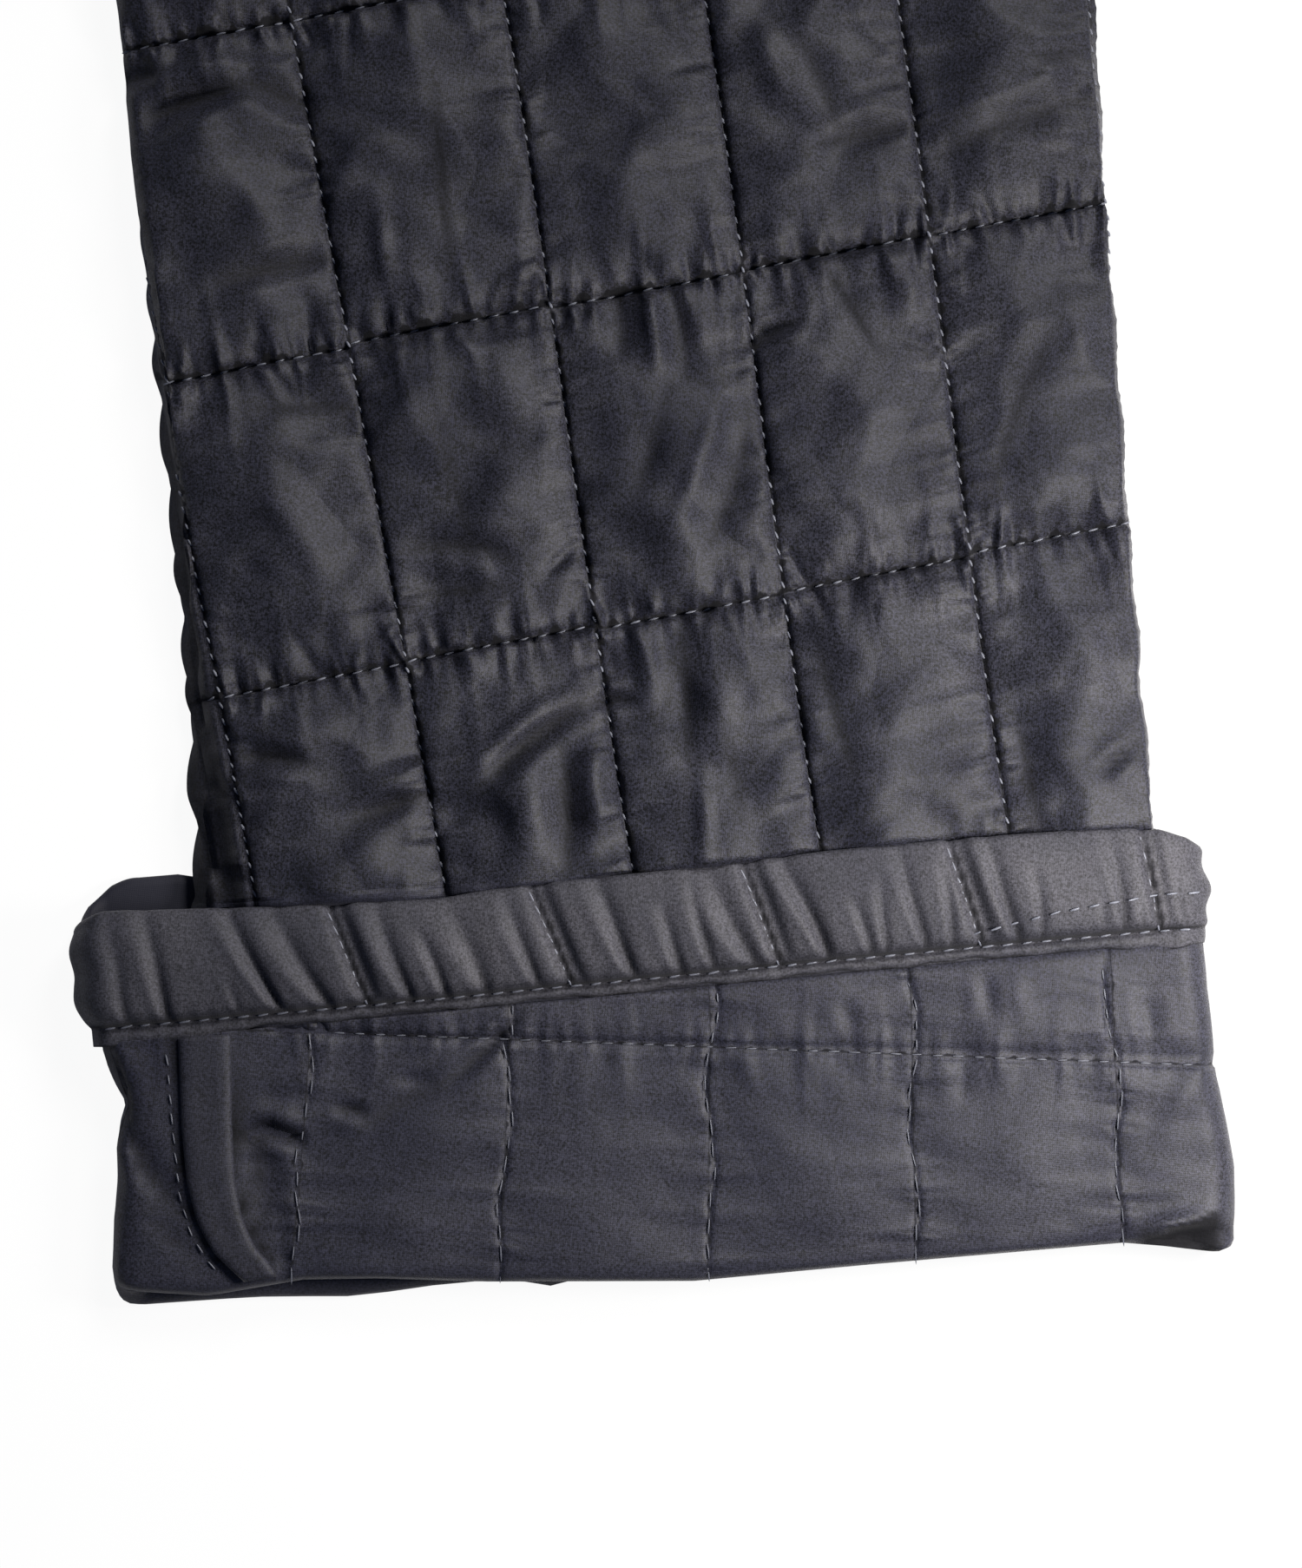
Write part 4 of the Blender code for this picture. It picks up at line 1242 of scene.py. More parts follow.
def sleeve_line(weave, u, v):
    """Points of the sleeve's outside along a stitched line, given by matching lists of u and v."""
    h_middle = FIRST_ROW_H + ROW * v
    lean = GRID_LEAN * ramp(h_middle, 56.0, 92.0)
    t = column_line(SLEEVE_COLUMNS, u, h_middle, True)
    for _ in range(5):
        h = h_middle + lean * t
        flat = column_line(SLEEVE_COLUMNS, u, h, True)
        t, z, out_t, out_z = wrap_round(flat, *sleeve_outer(h))
    rows = (h - GRID_LEAN * t - FIRST_ROW_H) / ROW
    h = h + row_jog(u, rows) * ramp(h, BAND_TOP, 80.0)
    moved = sleeve_shift(u, rows, t, h, weave.seed)
    t, z, _ = settle_sides(u, t, h, z, out_t, out_z, moved)
    z = z + STITCH_LIFT * out_z
    band_edge = BAND_TOP + along(HEM_TOP, t)[0]
    inside = (out_z > 0.3) & (h < armhole_height(t) - 1.0) & (h > band_edge + 0.5)
    return np.stack([t, h, z], -1)[inside]


def cuff_line(weave, u, h):
    """Points of the cuff's face along a stitched line, given by matching lists of u and h."""
    t, z, _, out_z = wrap_round(column_line(CUFF_COLUMNS, u, h), *cuff_outer(h))
    moved = cuff_shift(u, None, t, h, weave.seed)
    z = z + (moved[:, 2] + 0.22) * out_z
    h = h + fold_rise(t, z) * (1.0 - ramp(h, 3.0, 18.0))
    return np.stack([t, h, z], -1)[out_z > 0.1]


# ---------------------------------------------------------------- the gathered hem


def gather_places(t, up):
    """Each gather's row of the table, and how far across it every point lies at a share up the hem's face."""
    for gather in GATHERS:
        low, high = gather[:2]
        yield gather, t - low - (high - low) * up - 0.5 * math.sin(3.0 * up + low)


def crossing_places(t, up):
    """Each crossing line's t at the stitching, and how far across it every point lies."""
    for low, high in HEM_CROSSINGS:
        yield low, t - low - (high - low) * up


def above_stitching(share):
    """Turns a share of the hem's height into a share of its face above the stitching."""
    return (share - HEM_STITCHING) / (1.0 - HEM_STITCHING)


def hem_relief(t, share):
    """The gathers and the cross stitching of the hem's face. share runs from its lower edge to its top."""
    up = np.clip(above_stitching(share), 0.0, 1.0)
    above = np.maximum(share - HEM_STITCHING, 0.0) * HEM_HEIGHT
    puff = (1.0 - np.exp(-above / 0.8)) * np.sqrt(np.clip(1.0 - ((share - 0.5) / 0.56) ** 2, 0.0, 1.0))
    height = 2.3 * puff - 0.5 * (1.0 - ramp(share, 0.0, 0.03)) - 0.8 * (1.0 - ramp(share, 0.09, 0.17))
    for (_, _, depth, half_width, reach), across in gather_places(t, up):
        fade = np.clip(1.0 - up / (reach * 1.25), 0.0, 1.0) ** 0.7
        across = across / (half_width * (0.5 + 0.65 * up))
        height = height - 1.1 * depth * fade * puff ** 0.5 * np.exp(-np.abs(across) ** 1.5)
        height = height + 0.28 * depth * fade * puff * hill(across + 1.9)
    for _, across in crossing_places(t, up):
        height = height - 1.6 * puff ** 0.5 * np.exp(-np.abs(across / 0.7) ** 1.3)
        height = height - 1.2 * puff * hill(across - 1.6, 1.1)
    stitching = hill(share - HEM_STITCHING, 0.02)
    ripple = 0.16 * np.cos(2.0 * np.pi * t / STITCH_PITCH) * hill(share - 0.12, 0.06)
    return height - 0.7 * stitching + ripple + 0.25 * undulation(t * 2.2, share * 30.0) * puff


def hem_shade(t, share):
    """The painted shade in the hem's tight valleys: above its stitched line and beside its cross stitching.
    """
    shade = 0.9 * hill(share - HEM_STITCHING - 0.02, 0.016) * np.ones(len(t))
    # Painted shadow along the lowest edge of the lip.
    shade = np.maximum(shade, 0.8 * (share < 0.01))
    up = max(above_stitching(share), 0.0)
    if up > 0.0:
        for low, across in crossing_places(t, up):
            wide = 0.45 + 0.25 * np.sin(share * 41.0 + low)
            dark = 0.9 * hill(across - 0.5, wide) * (1.0 - up ** 6)
            shade = np.maximum(shade, dark)
        for (_, _, depth, _, reach), across in gather_places(t, up):
            fade = max(1.0 - up / (reach * 0.8), 0.0)
            shade = np.maximum(shade, 0.75 * fade * min(depth, 1.0) * hill(across, 0.35))
    return shade


def hem_ring(across, share, inset=0.0, lift=0.0):
    """One ring of the hem at a share up its height, drawn in from its face by inset and raised by lift."""
    middle_h = HEM_LOWER + share * (BAND_TOP - HEM_LOWER)
    left, right, floor, roof = (float(value) for value in along(BAND_SECTIONS, middle_h))
    side_fade = ramp(across, left + 0.5, left + 5.0) * ramp(right - across, 3.0, 9.0)
    t, z, out_t, out_z = wrap_round(across, left, right, floor, roof)
    rise = hem_relief(t, share) * (0.35 + 0.65 * side_fade) + lift
    out = rise * ramp(out_z, -0.2, 0.5) - inset
    h = middle_h + CUFF_EDGE_LEAN * t * (1.0 - share) + along(HEM_TOP, t)[0] * share
    h = h + 0.3 * (rise - 1.2) * ramp(share, 0.55, 0.95) * ramp(out_z, 0.0, 0.5)
    lip = 0.2 * np.sin(t * 0.31) + 0.12 * np.sin(t * 0.97) - 0.2 - 0.8 * ramp(np.abs(t), 55.0, 75.0)
    h = h + lip * (1.0 - ramp(share, 0.0, 0.09))
    z = np.maximum(z + out * out_z, floor + inset)
    t = t + out * out_t + 0.4 * math.sin(share * 13.0 + 0.6) * ramp(np.abs(t), 74.0, 83.0)
    return np.stack([t, h, z], -1)


def hem_rings(steps):
    """The hem's rings: up its face, over its rolled top and down inside, each closed under the sleeve."""
    across = np.linspace(-HEM_REACH, HEM_REACH, steps)
    rings = [hem_ring(across, share) for share in HEM_FACE]
    for degrees in HEM_TOP_TURNS:
        turn = math.radians(degrees)
        ring = hem_ring(across, HEM_FACE[-1], HEM_THICKNESS / 2.0 * (1.0 - math.cos(turn)))
        ring[:, 1] += 1.2 * math.sin(turn)
        rings.append(ring)
    for share in (0.7, 0.3, 0.0):
        ring = hem_ring(across, share, HEM_THICKNESS)
        ring[:, 2] = np.clip(ring[:, 2], HEM_INNER_FLOOR, HEM_INNER_ROOF)
        rings.append(ring)
    grid = np.array(rings)
    start, end = grid[:, -1:], grid[:, :1]
    under = start + (end - start) * np.linspace(0.0, 1.0, 26)[1:-1, None]
    return np.concatenate([grid, under], 1)


def build_hem(name, side, steps, finish):
    """The gathered hem as a closed ring round the sleeve, whose lower layer stands up at the left."""
    grid = hem_rings(steps)
    t, h, z = np.moveaxis(grid, -1, 0)
    stands_up = ramp(-t, 58.0, 66.0) * (1.0 - 0.75 * ramp(-t, 75.0, 85.0))
    h += 4.6 * (1.0 - ramp(z, 2.0, 4.5)) * ramp(h, 52.0, 58.0) * stands_up
    index = np.arange(t.size).reshape(t.shape)
    marks = np.zeros((*t.shape, 4))
    marks[len(HEM_FACE) + 4 :, :, 0] = 1.0
    for row, share in enumerate(HEM_FACE):
        # The fourth mark is the hem's painted shade.
        marks[row, :, 3] = hem_shade(t[row], share) * (z[row] > 5.0)
    points = on_jacket(grid.reshape(-1, 3), side)
    mesh = mesh_of(name, points, grid_faces(index, True, True), marks.reshape(-1, 4))
    return add_piece(name, mesh, finish)


def hem_line(t, share, lift=0.0):
    """Points of the hem's face along a line of stitching."""
    return np.array([hem_ring(np.array([x]), float(up), lift=lift)[0] for x, up in zip(t, share)])


# ---------------------------------------------------------------- the seam allowance


STRIP_PROFILE = (
    # share across, height share
    (0.0, 0.0), (-0.02, 0.3), (0.0, 0.62), (0.05, 0.85), (0.14, 0.98), (0.3, 1.0), (0.5, 0.94),
    (0.7, 1.0), (0.86, 0.98), (0.95, 0.85), (1.0, 0.62), (1.02, 0.3), (1.0, 0.0),
)


def build_strip(name, side, finish):
    """The strip of seam allowance that lies on the cuff, with rolled edges."""
    heights = np.linspace(SEAM_STRIP[0][0], SEAM_STRIP[-1][0], 60)
    shares, levels = np.array(STRIP_PROFILE).T
    rings = []
    for h, low, high in zip(heights, *along(SEAM_STRIP, heights)):
        base = float(cuff_outer(h)[3]) + SEAM_GAP + 0.05
        ripple = 0.1 * math.sin(h * 0.37) + 0.05 * math.sin(h * 0.93 + 1.0)
        t = low + (high - low) * shares
        z = base + levels * (STRIP_THICKNESS + ripple * (1.0 - np.abs(2.0 * shares - 1.0)))
        rise = fold_rise(t, 8.0) * (1.0 - ramp(h, 2.0, 12.0))
        rings.append(np.stack([t, h + rise, z], -1))
    return ring_piece(name, rings, finish, side, True)


# ---------------------------------------------------------------- the body


def front_neck(steps):
    """The front neckline from the shoulder's neck point down to the placket."""
    end = np.array((PLACKET_HALF + SEAM_GAP, FRONT_NECK_Y))
    turn = np.linspace(0.0, math.pi / 2.0, steps + 1)
    x = end[0] + (NECK_POINT[0] - end[0]) * np.cos(turn)
    y = NECK_POINT[1] - (NECK_POINT[1] - end[1]) * np.sin(turn)
    return np.stack([x, y], -1)


def back_neck(steps):
    """The back neckline from the left neck point to the right one."""
    share = np.linspace(-1.0, 1.0, steps + 1)
    drop = (NECK_POINT[1] - BACK_NECK_Y) * (1.0 - share * share)
    return np.stack([-NECK_POINT[0] * share, NECK_POINT[1] - drop], -1)


def edge_distance(points, outline):
    """How far each point lies from a closed outline."""
    nearest = np.full(len(points), np.inf)
    for start, end in zip(outline, np.roll(outline, -1, 0)):
        run = end - start
        share = np.clip(((points - start) @ run) / max(run @ run, 1e-9), 0.0, 1.0)
        nearest = np.minimum(nearest, np.hypot(*(points - start - share[:, None] * run).T))
    return nearest


def front_outline():
    """The front panel's outline, from the placket's foot round by the side, armhole, shoulder and neck."""
    corners = [(PLACKET_HALF + SEAM_GAP, 0.0), (HEM_HALF, 0.0)]
    return np.concatenate([corners, armhole(SEAM_GAP / 2.0), front_neck(20)])


def front_sides(y):
    """The left and right end of the front panel at height y."""
    seam = armhole(SEAM_GAP / 2.0)
    right = np.interp(y, (0.0, UNDERARM[1]), (HEM_HALF, seam[0, 0]))
    right = np.where(y > UNDERARM[1], np.interp(y, seam[:, 1], seam[:, 0]), right)
    shoulder_share = np.clip((y - seam[-1, 1]) / (NECK_POINT[1] - seam[-1, 1]), 0.0, 1.0)
    right = np.where(y > seam[-1, 1], seam[-1, 0] + (NECK_POINT[0] - seam[-1, 0]) * shoulder_share, right)
    neck = front_neck(60)[::-1]
    left = np.where(y < FRONT_NECK_Y, PLACKET_HALF + SEAM_GAP, np.interp(y, neck[:, 1], neck[:, 0]))
    return left, np.maximum(right, left)


def body_height(x, y, distance, seed):
    """The shift of a front panel's top: quilting, creases and the rolled edge."""
    u, v = (x - BODY_FIRST_COLUMN) / COLUMN, (y - BODY_FIRST_ROW) / ROW
    shift = quilt_shift(u, v, seed) * 0.4
    shift[..., 2] += pillow(u, v, TRENCH_WIDTH + 1.3, 0.0) + 0.35 * undulation(x + 90.0, y)
    shift[..., 2] += crease_rise(BODY_CREASES, x, y) * 0.9
    shift *= ramp(distance, 0.4, 9.0)[..., None]
    shift[..., 2] -= EDGE_DROP * (1.0 - ramp(distance, 0.0, ROLLED_EDGE))
    return shift


def build_front(name, side, seed, finish):
    """A front panel: its puffed top, a wall round it and one flat face under it."""
    step_x, step_y = COLUMN / BODY_STEPS, ROW / BODY_ROW_STEPS
    grid_x = BODY_FIRST_COLUMN + np.arange(-5, int(270.0 / step_x)) * step_x
    grid_y = BODY_FIRST_ROW + np.arange(-8, int(662.0 / step_y)) * step_y
    grid_y = np.concatenate([[0.0], grid_y[grid_y > 1.0], [NECK_POINT[1] - 0.05]])
    grid_y = np.sort(np.append(grid_y[grid_y < NECK_POINT[1]], [SHOULDER[1], FRONT_NECK_Y]))
    points, index = [], []
    for y in grid_y:
        left, right = (float(value) for value in front_sides(y))
        past_left, past_right = grid_x <= left + 0.4, grid_x >= right - 0.4
        inner = ~past_left & ~past_right
        row = np.where(past_left, left, np.where(past_right, right, grid_x))
        first = int(np.argmax(inner)) - 1 if inner.any() else 0
        last = first + int(inner.sum()) + 1
        start = len(points)
        points += [(x, y) for x in row[first : last + 1]]
        index.append(start + np.clip(np.arange(len(grid_x)) - first, 0, last - first))
    points, index = np.array(points), np.array(index)
    distance = edge_distance(points, front_outline())
    shift = body_height(points[:, 0], points[:, 1], distance, seed)
    top = np.concatenate([points, np.full((len(points), 1), FRONT_FLOOR + WALL)], 1) + shift
    places = (points - np.array((BODY_FIRST_COLUMN, BODY_FIRST_ROW))) / np.array((COLUMN, ROW))
    places = np.concatenate([places, np.ones((len(places), 1)), np.zeros((len(places), 1))], 1)
    mesh = mesh_of(name, top, grid_faces(index, False, False), places)
    bm = bmesh.new()
    bm.from_mesh(mesh)
    close_below(bm, FRONT_FLOOR)
    bm.to_mesh(mesh)
    bm.free()
    place_on_body(mesh, side)
    return add_piece(name, mesh, finish, sharp=70.0)


def close_below(bm, floor):
    """Walls down from the open edges of a sheet, and one flat face under it."""
    rim = [edge for edge in bm.edges if edge.is_boundary]
    made = bmesh.ops.extrude_edge_only(bm, edges=rim)["geom"]
    for item in made:
        if isinstance(item, bmesh.types.BMVert):
            item.co.z = floor
    rim = [edge for edge in bm.edges if edge.is_boundary]
    bmesh.ops.contextual_create(bm, geom=rim)
    bmesh.ops.recalc_face_normals(bm, faces=bm.faces)


def place_on_body(mesh, side):
    """Moves a mesh from the body's millimetres to the world, mirrored for the right side."""
    place = Matrix.Diagonal((MM * side, MM, MM, 1.0)) @ Matrix.Translation((0.0, -MIDDLE_Y, 0.0))
    mesh.transform(place)
    if side < 0:
        mesh.flip_normals()


# The height from which the back shows inside the neck.
BARE_FROM = 580.0


def build_back(name, finish):
    """The back panel: flat under the fronts, softly quilted where the neck leaves it bare."""
    right = np.concatenate([[(HEM_HALF, 0.0)], armhole(SEAM_GAP / 2.0)])
    outline = np.concatenate([right, back_neck(28), right[::-1] * np.array((-1.0, 1.0))])
    bm = bmesh.new()
    face = bm.faces.new([bm.verts.new((x, y, BACK_THICKNESS)) for x, y in outline])
    bmesh.ops.inset_region(bm, faces=[face], thickness=1.0, use_even_offset=True, use_boundary=True)
    for x in np.arange(-95.0, 96.0, 2.5):
        cut_along(bm, (x, 0.0, 0.0), (1.0, 0.0, 0.0))
    for y in np.arange(BARE_FROM, 681.0, 2.5):
        cut_along(bm, (0.0, y, 0.0), (0.0, 1.0, 0.0))
    for edge in bm.edges:
        if edge.is_boundary:
            for vert in edge.verts:
                vert.co.z = BACK_THICKNESS - 0.6
    neck = [vert for vert in bm.verts if not vert.is_boundary and vert.co.y > BARE_FROM]
    places = np.array([(vert.co.x, vert.co.y) for vert in neck])
    bare = bare_neck(places)
    u, v = (places[:, 0] - COLUMN / 2.0) / COLUMN, (places[:, 1] - 620.0) / ROW
    puff = quilt_shift(u, v, 6)[:, 2] * 0.4 * bare
    for vert, rise in zip(neck, puff):
        vert.co.z += float(rise)
    close_below(bm, 0.0)
    mesh = bpy.data.meshes.new(name)
    bm.to_mesh(mesh)
    bm.free()
    place_on_body(mesh, 1)
    return add_piece(name, mesh, finish, sharp=50.0)


def cut_along(bm, point, normal):
    """Cuts the faces that reach the bare part of the back along one line."""
    faces = [face for face in bm.faces if max(vert.co.y for vert in face.verts) > BARE_FROM]
    edges = {edge for face in faces for edge in face.edges}
    verts = {vert for face in faces for vert in face.verts}
    geometry = list(verts) + list(edges) + faces
    bmesh.ops.bisect_plane(bm, geom=geometry, dist=1e-4, plane_co=point, plane_no=normal)


def bare_neck(places):
    """1 where the back shows inside the neck, fading to 0 towards the front neckline and the back's edge."""
    x, y = np.abs(places[:, 0]), places[:, 1]
    neck = front_neck(60)[::-1]
    front_y = np.interp(x, neck[:, 0], neck[:, 1])
    back_y = NECK_POINT[1] - (NECK_POINT[1] - BACK_NECK_Y) * (1.0 - (x / NECK_POINT[0]) ** 2)
    inside = ramp(y - front_y, 1.0, 8.0) * ramp(back_y - y, 2.0, 8.0) * ramp(NECK_POINT[0] - x, 2.0, 12.0)
    return inside * ramp(y, FRONT_NECK_Y + BINDING_WIDTH + 2.0, FRONT_NECK_Y + BINDING_WIDTH + 10.0)


BINDING_PROFILE = (
    # share across, height share
    (0.0, 0.0), (-0.01, 0.45), (0.03, 0.8), (0.12, 0.97), (0.28, 0.9), (0.5, 1.0),
    (0.72, 0.9), (0.88, 0.97), (0.97, 0.8), (1.01, 0.45), (1.0, 0.0),
)


def bound_strip(name, path, width, floor, top, finish, side=1, limit_x=-math.inf):
    """A padded strip along the right of a path, 0.3 mm off it, with a rounded top and faint puckers."""
    shares, levels = np.array(BINDING_PROFILE).T
    run = np.gradient(path, axis=0)
    run /= np.hypot(*run.T)[:, None]
    out = np.stack([run[:, 1], -run[:, 0]], -1)
    length = np.concatenate([[0.0], np.cumsum(np.hypot(*np.diff(path, axis=0).T))])
    pucker = 0.12 * np.sin(length * 1.15) + 0.1 * np.sin(length * 0.47 + 1.0)
    flat = path[:, None] + out[:, None] * (SEAM_GAP + width * shares)[:, None]
    flat[..., 0] = np.maximum(flat[..., 0], limit_x)
    z = floor + (top - floor) * levels + pucker[:, None] * ramp(levels, 0.5, 1.0)
    return ring_piece(name, np.concatenate([flat, z[..., None]], -1), finish, side, sharp=60.0)


def build_snap(name, y, finish):
    """One domed snap button with a rolled rim."""
    turns = np.linspace(0.0, 2.0 * math.pi, SNAP_SIDES, endpoint=False)
    rings = []
    for share, height in SNAP_PROFILE:
        radius = SNAP_RADIUS * share
        z = np.full(SNAP_SIDES, PLACKET_TOP + SEAM_GAP + height)
        rings.append(np.stack([radius * np.cos(turns), y + radius * np.sin(turns), z], -1))
    return ring_piece(name, rings, finish, sharp=50.0)


# ---------------------------------------------------------------- sewing


def stitch_tree():
    """Geometry nodes that lay a stitch on each point of the seam lines."""
    sockets = {
        "Seam lines": "Geometry",
        "Stitch length": "Float",
        "Thread": "Float",
        "Slant": "Float",
        "Sides": "Int",
        "Seed": "Int",
        "Finish": "Material",
    }
    nodes, given, result = new_group("stitch_rows", "Geometry", sockets, {"Stitches": "Geometry"})
    thread, seed = given["Thread"], given["Seed"]

    # One stitch: a small spindle along X.
    ball = {"Rings": 4, "Radius": 0.5, "Segments": given["Sides"]}
    spindle = nodes.add("GeometryNodeMeshUVSphere", ball).outputs["Mesh"]
    lying = {"Geometry": spindle, "Rotation": (0.0, math.pi / 2.0, 0.0)}
    lying = nodes.add("GeometryNodeTransform", lying).outputs["Geometry"]
    sized = {"Geometry": lying, "Scale": nodes.place(given["Stitch length"], thread, thread)}
    sized = nodes.add("GeometryNodeTransform", sized).outputs["Geometry"]

    # Each stitch runs along its seam, turned by the slant and a little at random.
    axes = {
        "Primary Axis": nodes.add("GeometryNodeInputTangent").outputs["Tangent"],
        "Secondary Axis": (0.0, 0.0, 1.0),
    }
    facing = nodes.add("FunctionNodeAxesToRotation", axes, primary_axis="X", secondary_axis="Z")
    stray = nodes.add("FunctionNodeRandomValue", {"Min": -0.07, "Max": 0.07, "Seed": seed}, data_type="FLOAT")
    turn = nodes.place(0.0, 0.0, nodes.math("ADD", given["Slant"], stray.outputs["Value"]))
    turned = {"Rotation": facing.outputs["Rotation"], "Rotate By": turn}
    turned = nodes.add("FunctionNodeRotateRotation", turned, rotation_space="LOCAL").outputs["Rotation"]
    uneven = {"Min": (0.84, 0.86, 0.8), "Max": (1.12, 1.14, 1.2), "Seed": seed}
    uneven = nodes.add("FunctionNodeRandomValue", uneven, data_type="FLOAT_VECTOR").outputs["Value"]
    laid = {"Points": given["Seam lines"], "Instance": sized, "Rotation": turned, "Scale": uneven}
    stitches = nodes.add("GeometryNodeInstanceOnPoints", laid).outputs["Instances"]
    for kind in ("GeometryNodeRealizeInstances", "GeometryNodeSetShadeSmooth"):
        stitches = nodes.add(kind, {"Geometry": stitches}).outputs["Geometry"]
    finished = {"Geometry": stitches, "Material": given["Finish"]}
    stitches = nodes.add("GeometryNodeSetMaterial", finished).outputs["Geometry"]
    nodes.fill(result, {"Stitches": stitches})
    return nodes.tree


def sew(name, lines, tree, finish, length, thread, sides, seed, slant):
    """Stitches at the points of world-space lines, as one plain mesh, on the body."""
    curve = bpy.data.curves.new(name + "_lines", "CURVE")
    curve.dimensions = "3D"
    for line in lines:
        spline = curve.splines.new("POLY")
        spline.points.add(len(line) - 1)
        spline.points.foreach_set("co", np.concatenate([line, np.ones((len(line), 1))], 1).ravel())
    guide = put_in_scene(name + "_lines", curve)
    rows = guide.modifiers.new("stitches", "NODES")
    rows.node_group = tree
    values = {
        "Stitch length": length * MM,
        "Thread": thread * MM,
        "Slant": slant,
        "Sides": sides,
        "Seed": seed,
        "Finish": finish,
    }
    for item in tree.interface.items_tree:
        if item.in_out == "INPUT" and item.name in values:
            rows[item.identifier] = values[item.name]
    drawn = bpy.context.evaluated_depsgraph_get()
    mesh = bpy.data.meshes.new_from_object(guide.evaluated_get(drawn), depsgraph=drawn)
    bpy.data.objects.remove(guide)
    mesh.name = name
    piece = put_in_scene(name, mesh)
    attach(piece, "root")


def sleeve_seams(weave):
    """The stitched lines of a sleeve's outside, with a point for each stitch: up, and across."""
    up = (np.arange(-15, 230) + 0.5) * DOWN_PITCH / ROW
    lines_up = [sleeve_line(weave, np.full(len(up), float(u)), up) for u in range(-1, 8)]
    across = (np.arange(-16, 74) + 0.5) * ACROSS_PITCH / COLUMN
    lines_across = []
    for v in range(12):
        for cell in range(-2, 8):
            part = across[(across >= cell + 0.03) & (across <= cell + 0.97)]
            lines_across.append(sleeve_line(weave, part, np.full(len(part), float(v))))
    return lines_up, lines_across


def cuff_seams(weave):
    """The stitched lines of the cuff's face, with a point for each stitch: down the columns, and across."""
    down, across = [], []
    for u in range(5):
        t = float(column_line(CUFF_COLUMNS, float(u), 33.0))
        line = cross_line(t)
        low = np.arange(1.0, line - 0.8, CUFF_DOWN_PITCH)
        high = np.arange(line + 1.4, CUFF_EDGE_H - 0.4, STITCH_PITCH)
        down.append(cuff_line(weave, u + cuff_wander(float(u), low, t), low))
        across.append(cuff_line(weave, u + cuff_wander(float(u), high, t), high))
    part = np.arange(0.05, 5.0, STITCH_PITCH / COLUMN)
    t = column_line(CUFF_COLUMNS, part, 33.0)
    kept = t < 80.0
    across.append(cuff_line(weave, part[kept], cross_line(t)[kept]))
    seam_t, seam_h = np.array(SEAM_LINE).T
    down_seam = np.arange(seam_h[-1], seam_h[0], STITCH_PITCH)
    seam_across = np.interp(down_seam, seam_h[::-1], seam_t[::-1])
    first, width = along(CUFF_COLUMNS, down_seam)
    across.append(cuff_line(weave, (seam_across - first) / width, down_seam))
    return down, across


def hem_seams():
    """The hem's lower stitching, its second row and the column lines that cross it."""
    t = np.arange(-80.0, 79.0, STITCH_PITCH)
    lines = [hem_line(t, np.full(len(t), HEM_STITCHING), 0.2)]
    second_t, second_h = np.array(SECOND_ROW).T
    spread = np.arange(second_t[0], second_t[-1], STITCH_PITCH)
    share = (np.interp(spread, second_t, second_h) - HEM_LOWER) / (BAND_TOP - HEM_LOWER)
    lines.append(hem_line(spread, share, 0.3))
    for low, high in HEM_CROSSINGS:
        share = np.linspace(0.15, 0.97, 7)
        up = above_stitching(share)
        lines.append(hem_line(low + (high - low) * up, share * 0.95))
    return lines


def front_seams(seed):
    """The stitched lines of a front panel."""
    outline = front_outline()
    lines = []
    for column in range(10):
        x = BODY_FIRST_COLUMN + column * COLUMN
        y = np.arange(2.0, 676.0, STITCH_PITCH)
        lines.append((np.full(len(y), x), y))
    for row in range(14):
        x = np.arange(PLACKET_HALF + 2.0, 288.0, STITCH_PITCH)
        lines.append((x, np.full(len(x), BODY_FIRST_ROW + row * ROW)))
    placed = []
    for x, y in lines:
        left, right = front_sides(y)
        kept = (x > left + 1.6) & (x < right - 1.6)
        x, y = x[kept], y[kept]
        if len(x) < 3:
            continue
        distance = edge_distance(np.stack([x, y], -1), outline)
        rise = body_height(x, y, distance, seed)[:, 2]
        placed.append(np.stack([x, y, FRONT_FLOOR + WALL + rise], -1))
    return placed


# ---------------------------------------------------------------- finishes


def weave_group():
    """A plain weave: two crossing sets of threads with a faint unevenness."""
    sockets = {"Place": "Vector", "Threads per metre": "Float", "Crinkle": "Float"}
    nodes, given, result = new_group("plain_weave", "Shader", sockets, {"Height": "Float"})
    threads = {
        "Vector": given["Place"],
        "Scale": nodes.times(given["Threads per metre"], 0.314),
        "Distortion": 0.6,
        "Detail": 1.0,
    }
    down = nodes.add("ShaderNodeTexWave", threads, bands_direction="X").outputs["Fac"]
    across = nodes.add("ShaderNodeTexWave", threads, bands_direction="Y").outputs["Fac"]
    crossed = nodes.times(nodes.times(down, across), 0.5)
    crinkle = nodes.noise(given["Place"], 900.0, 3.0, 0.6)
    soft = nodes.times(crinkle, given["Crinkle"])
    nodes.fill(result, {"Height": nodes.math("ADD", crossed, soft)})
    return nodes.tree


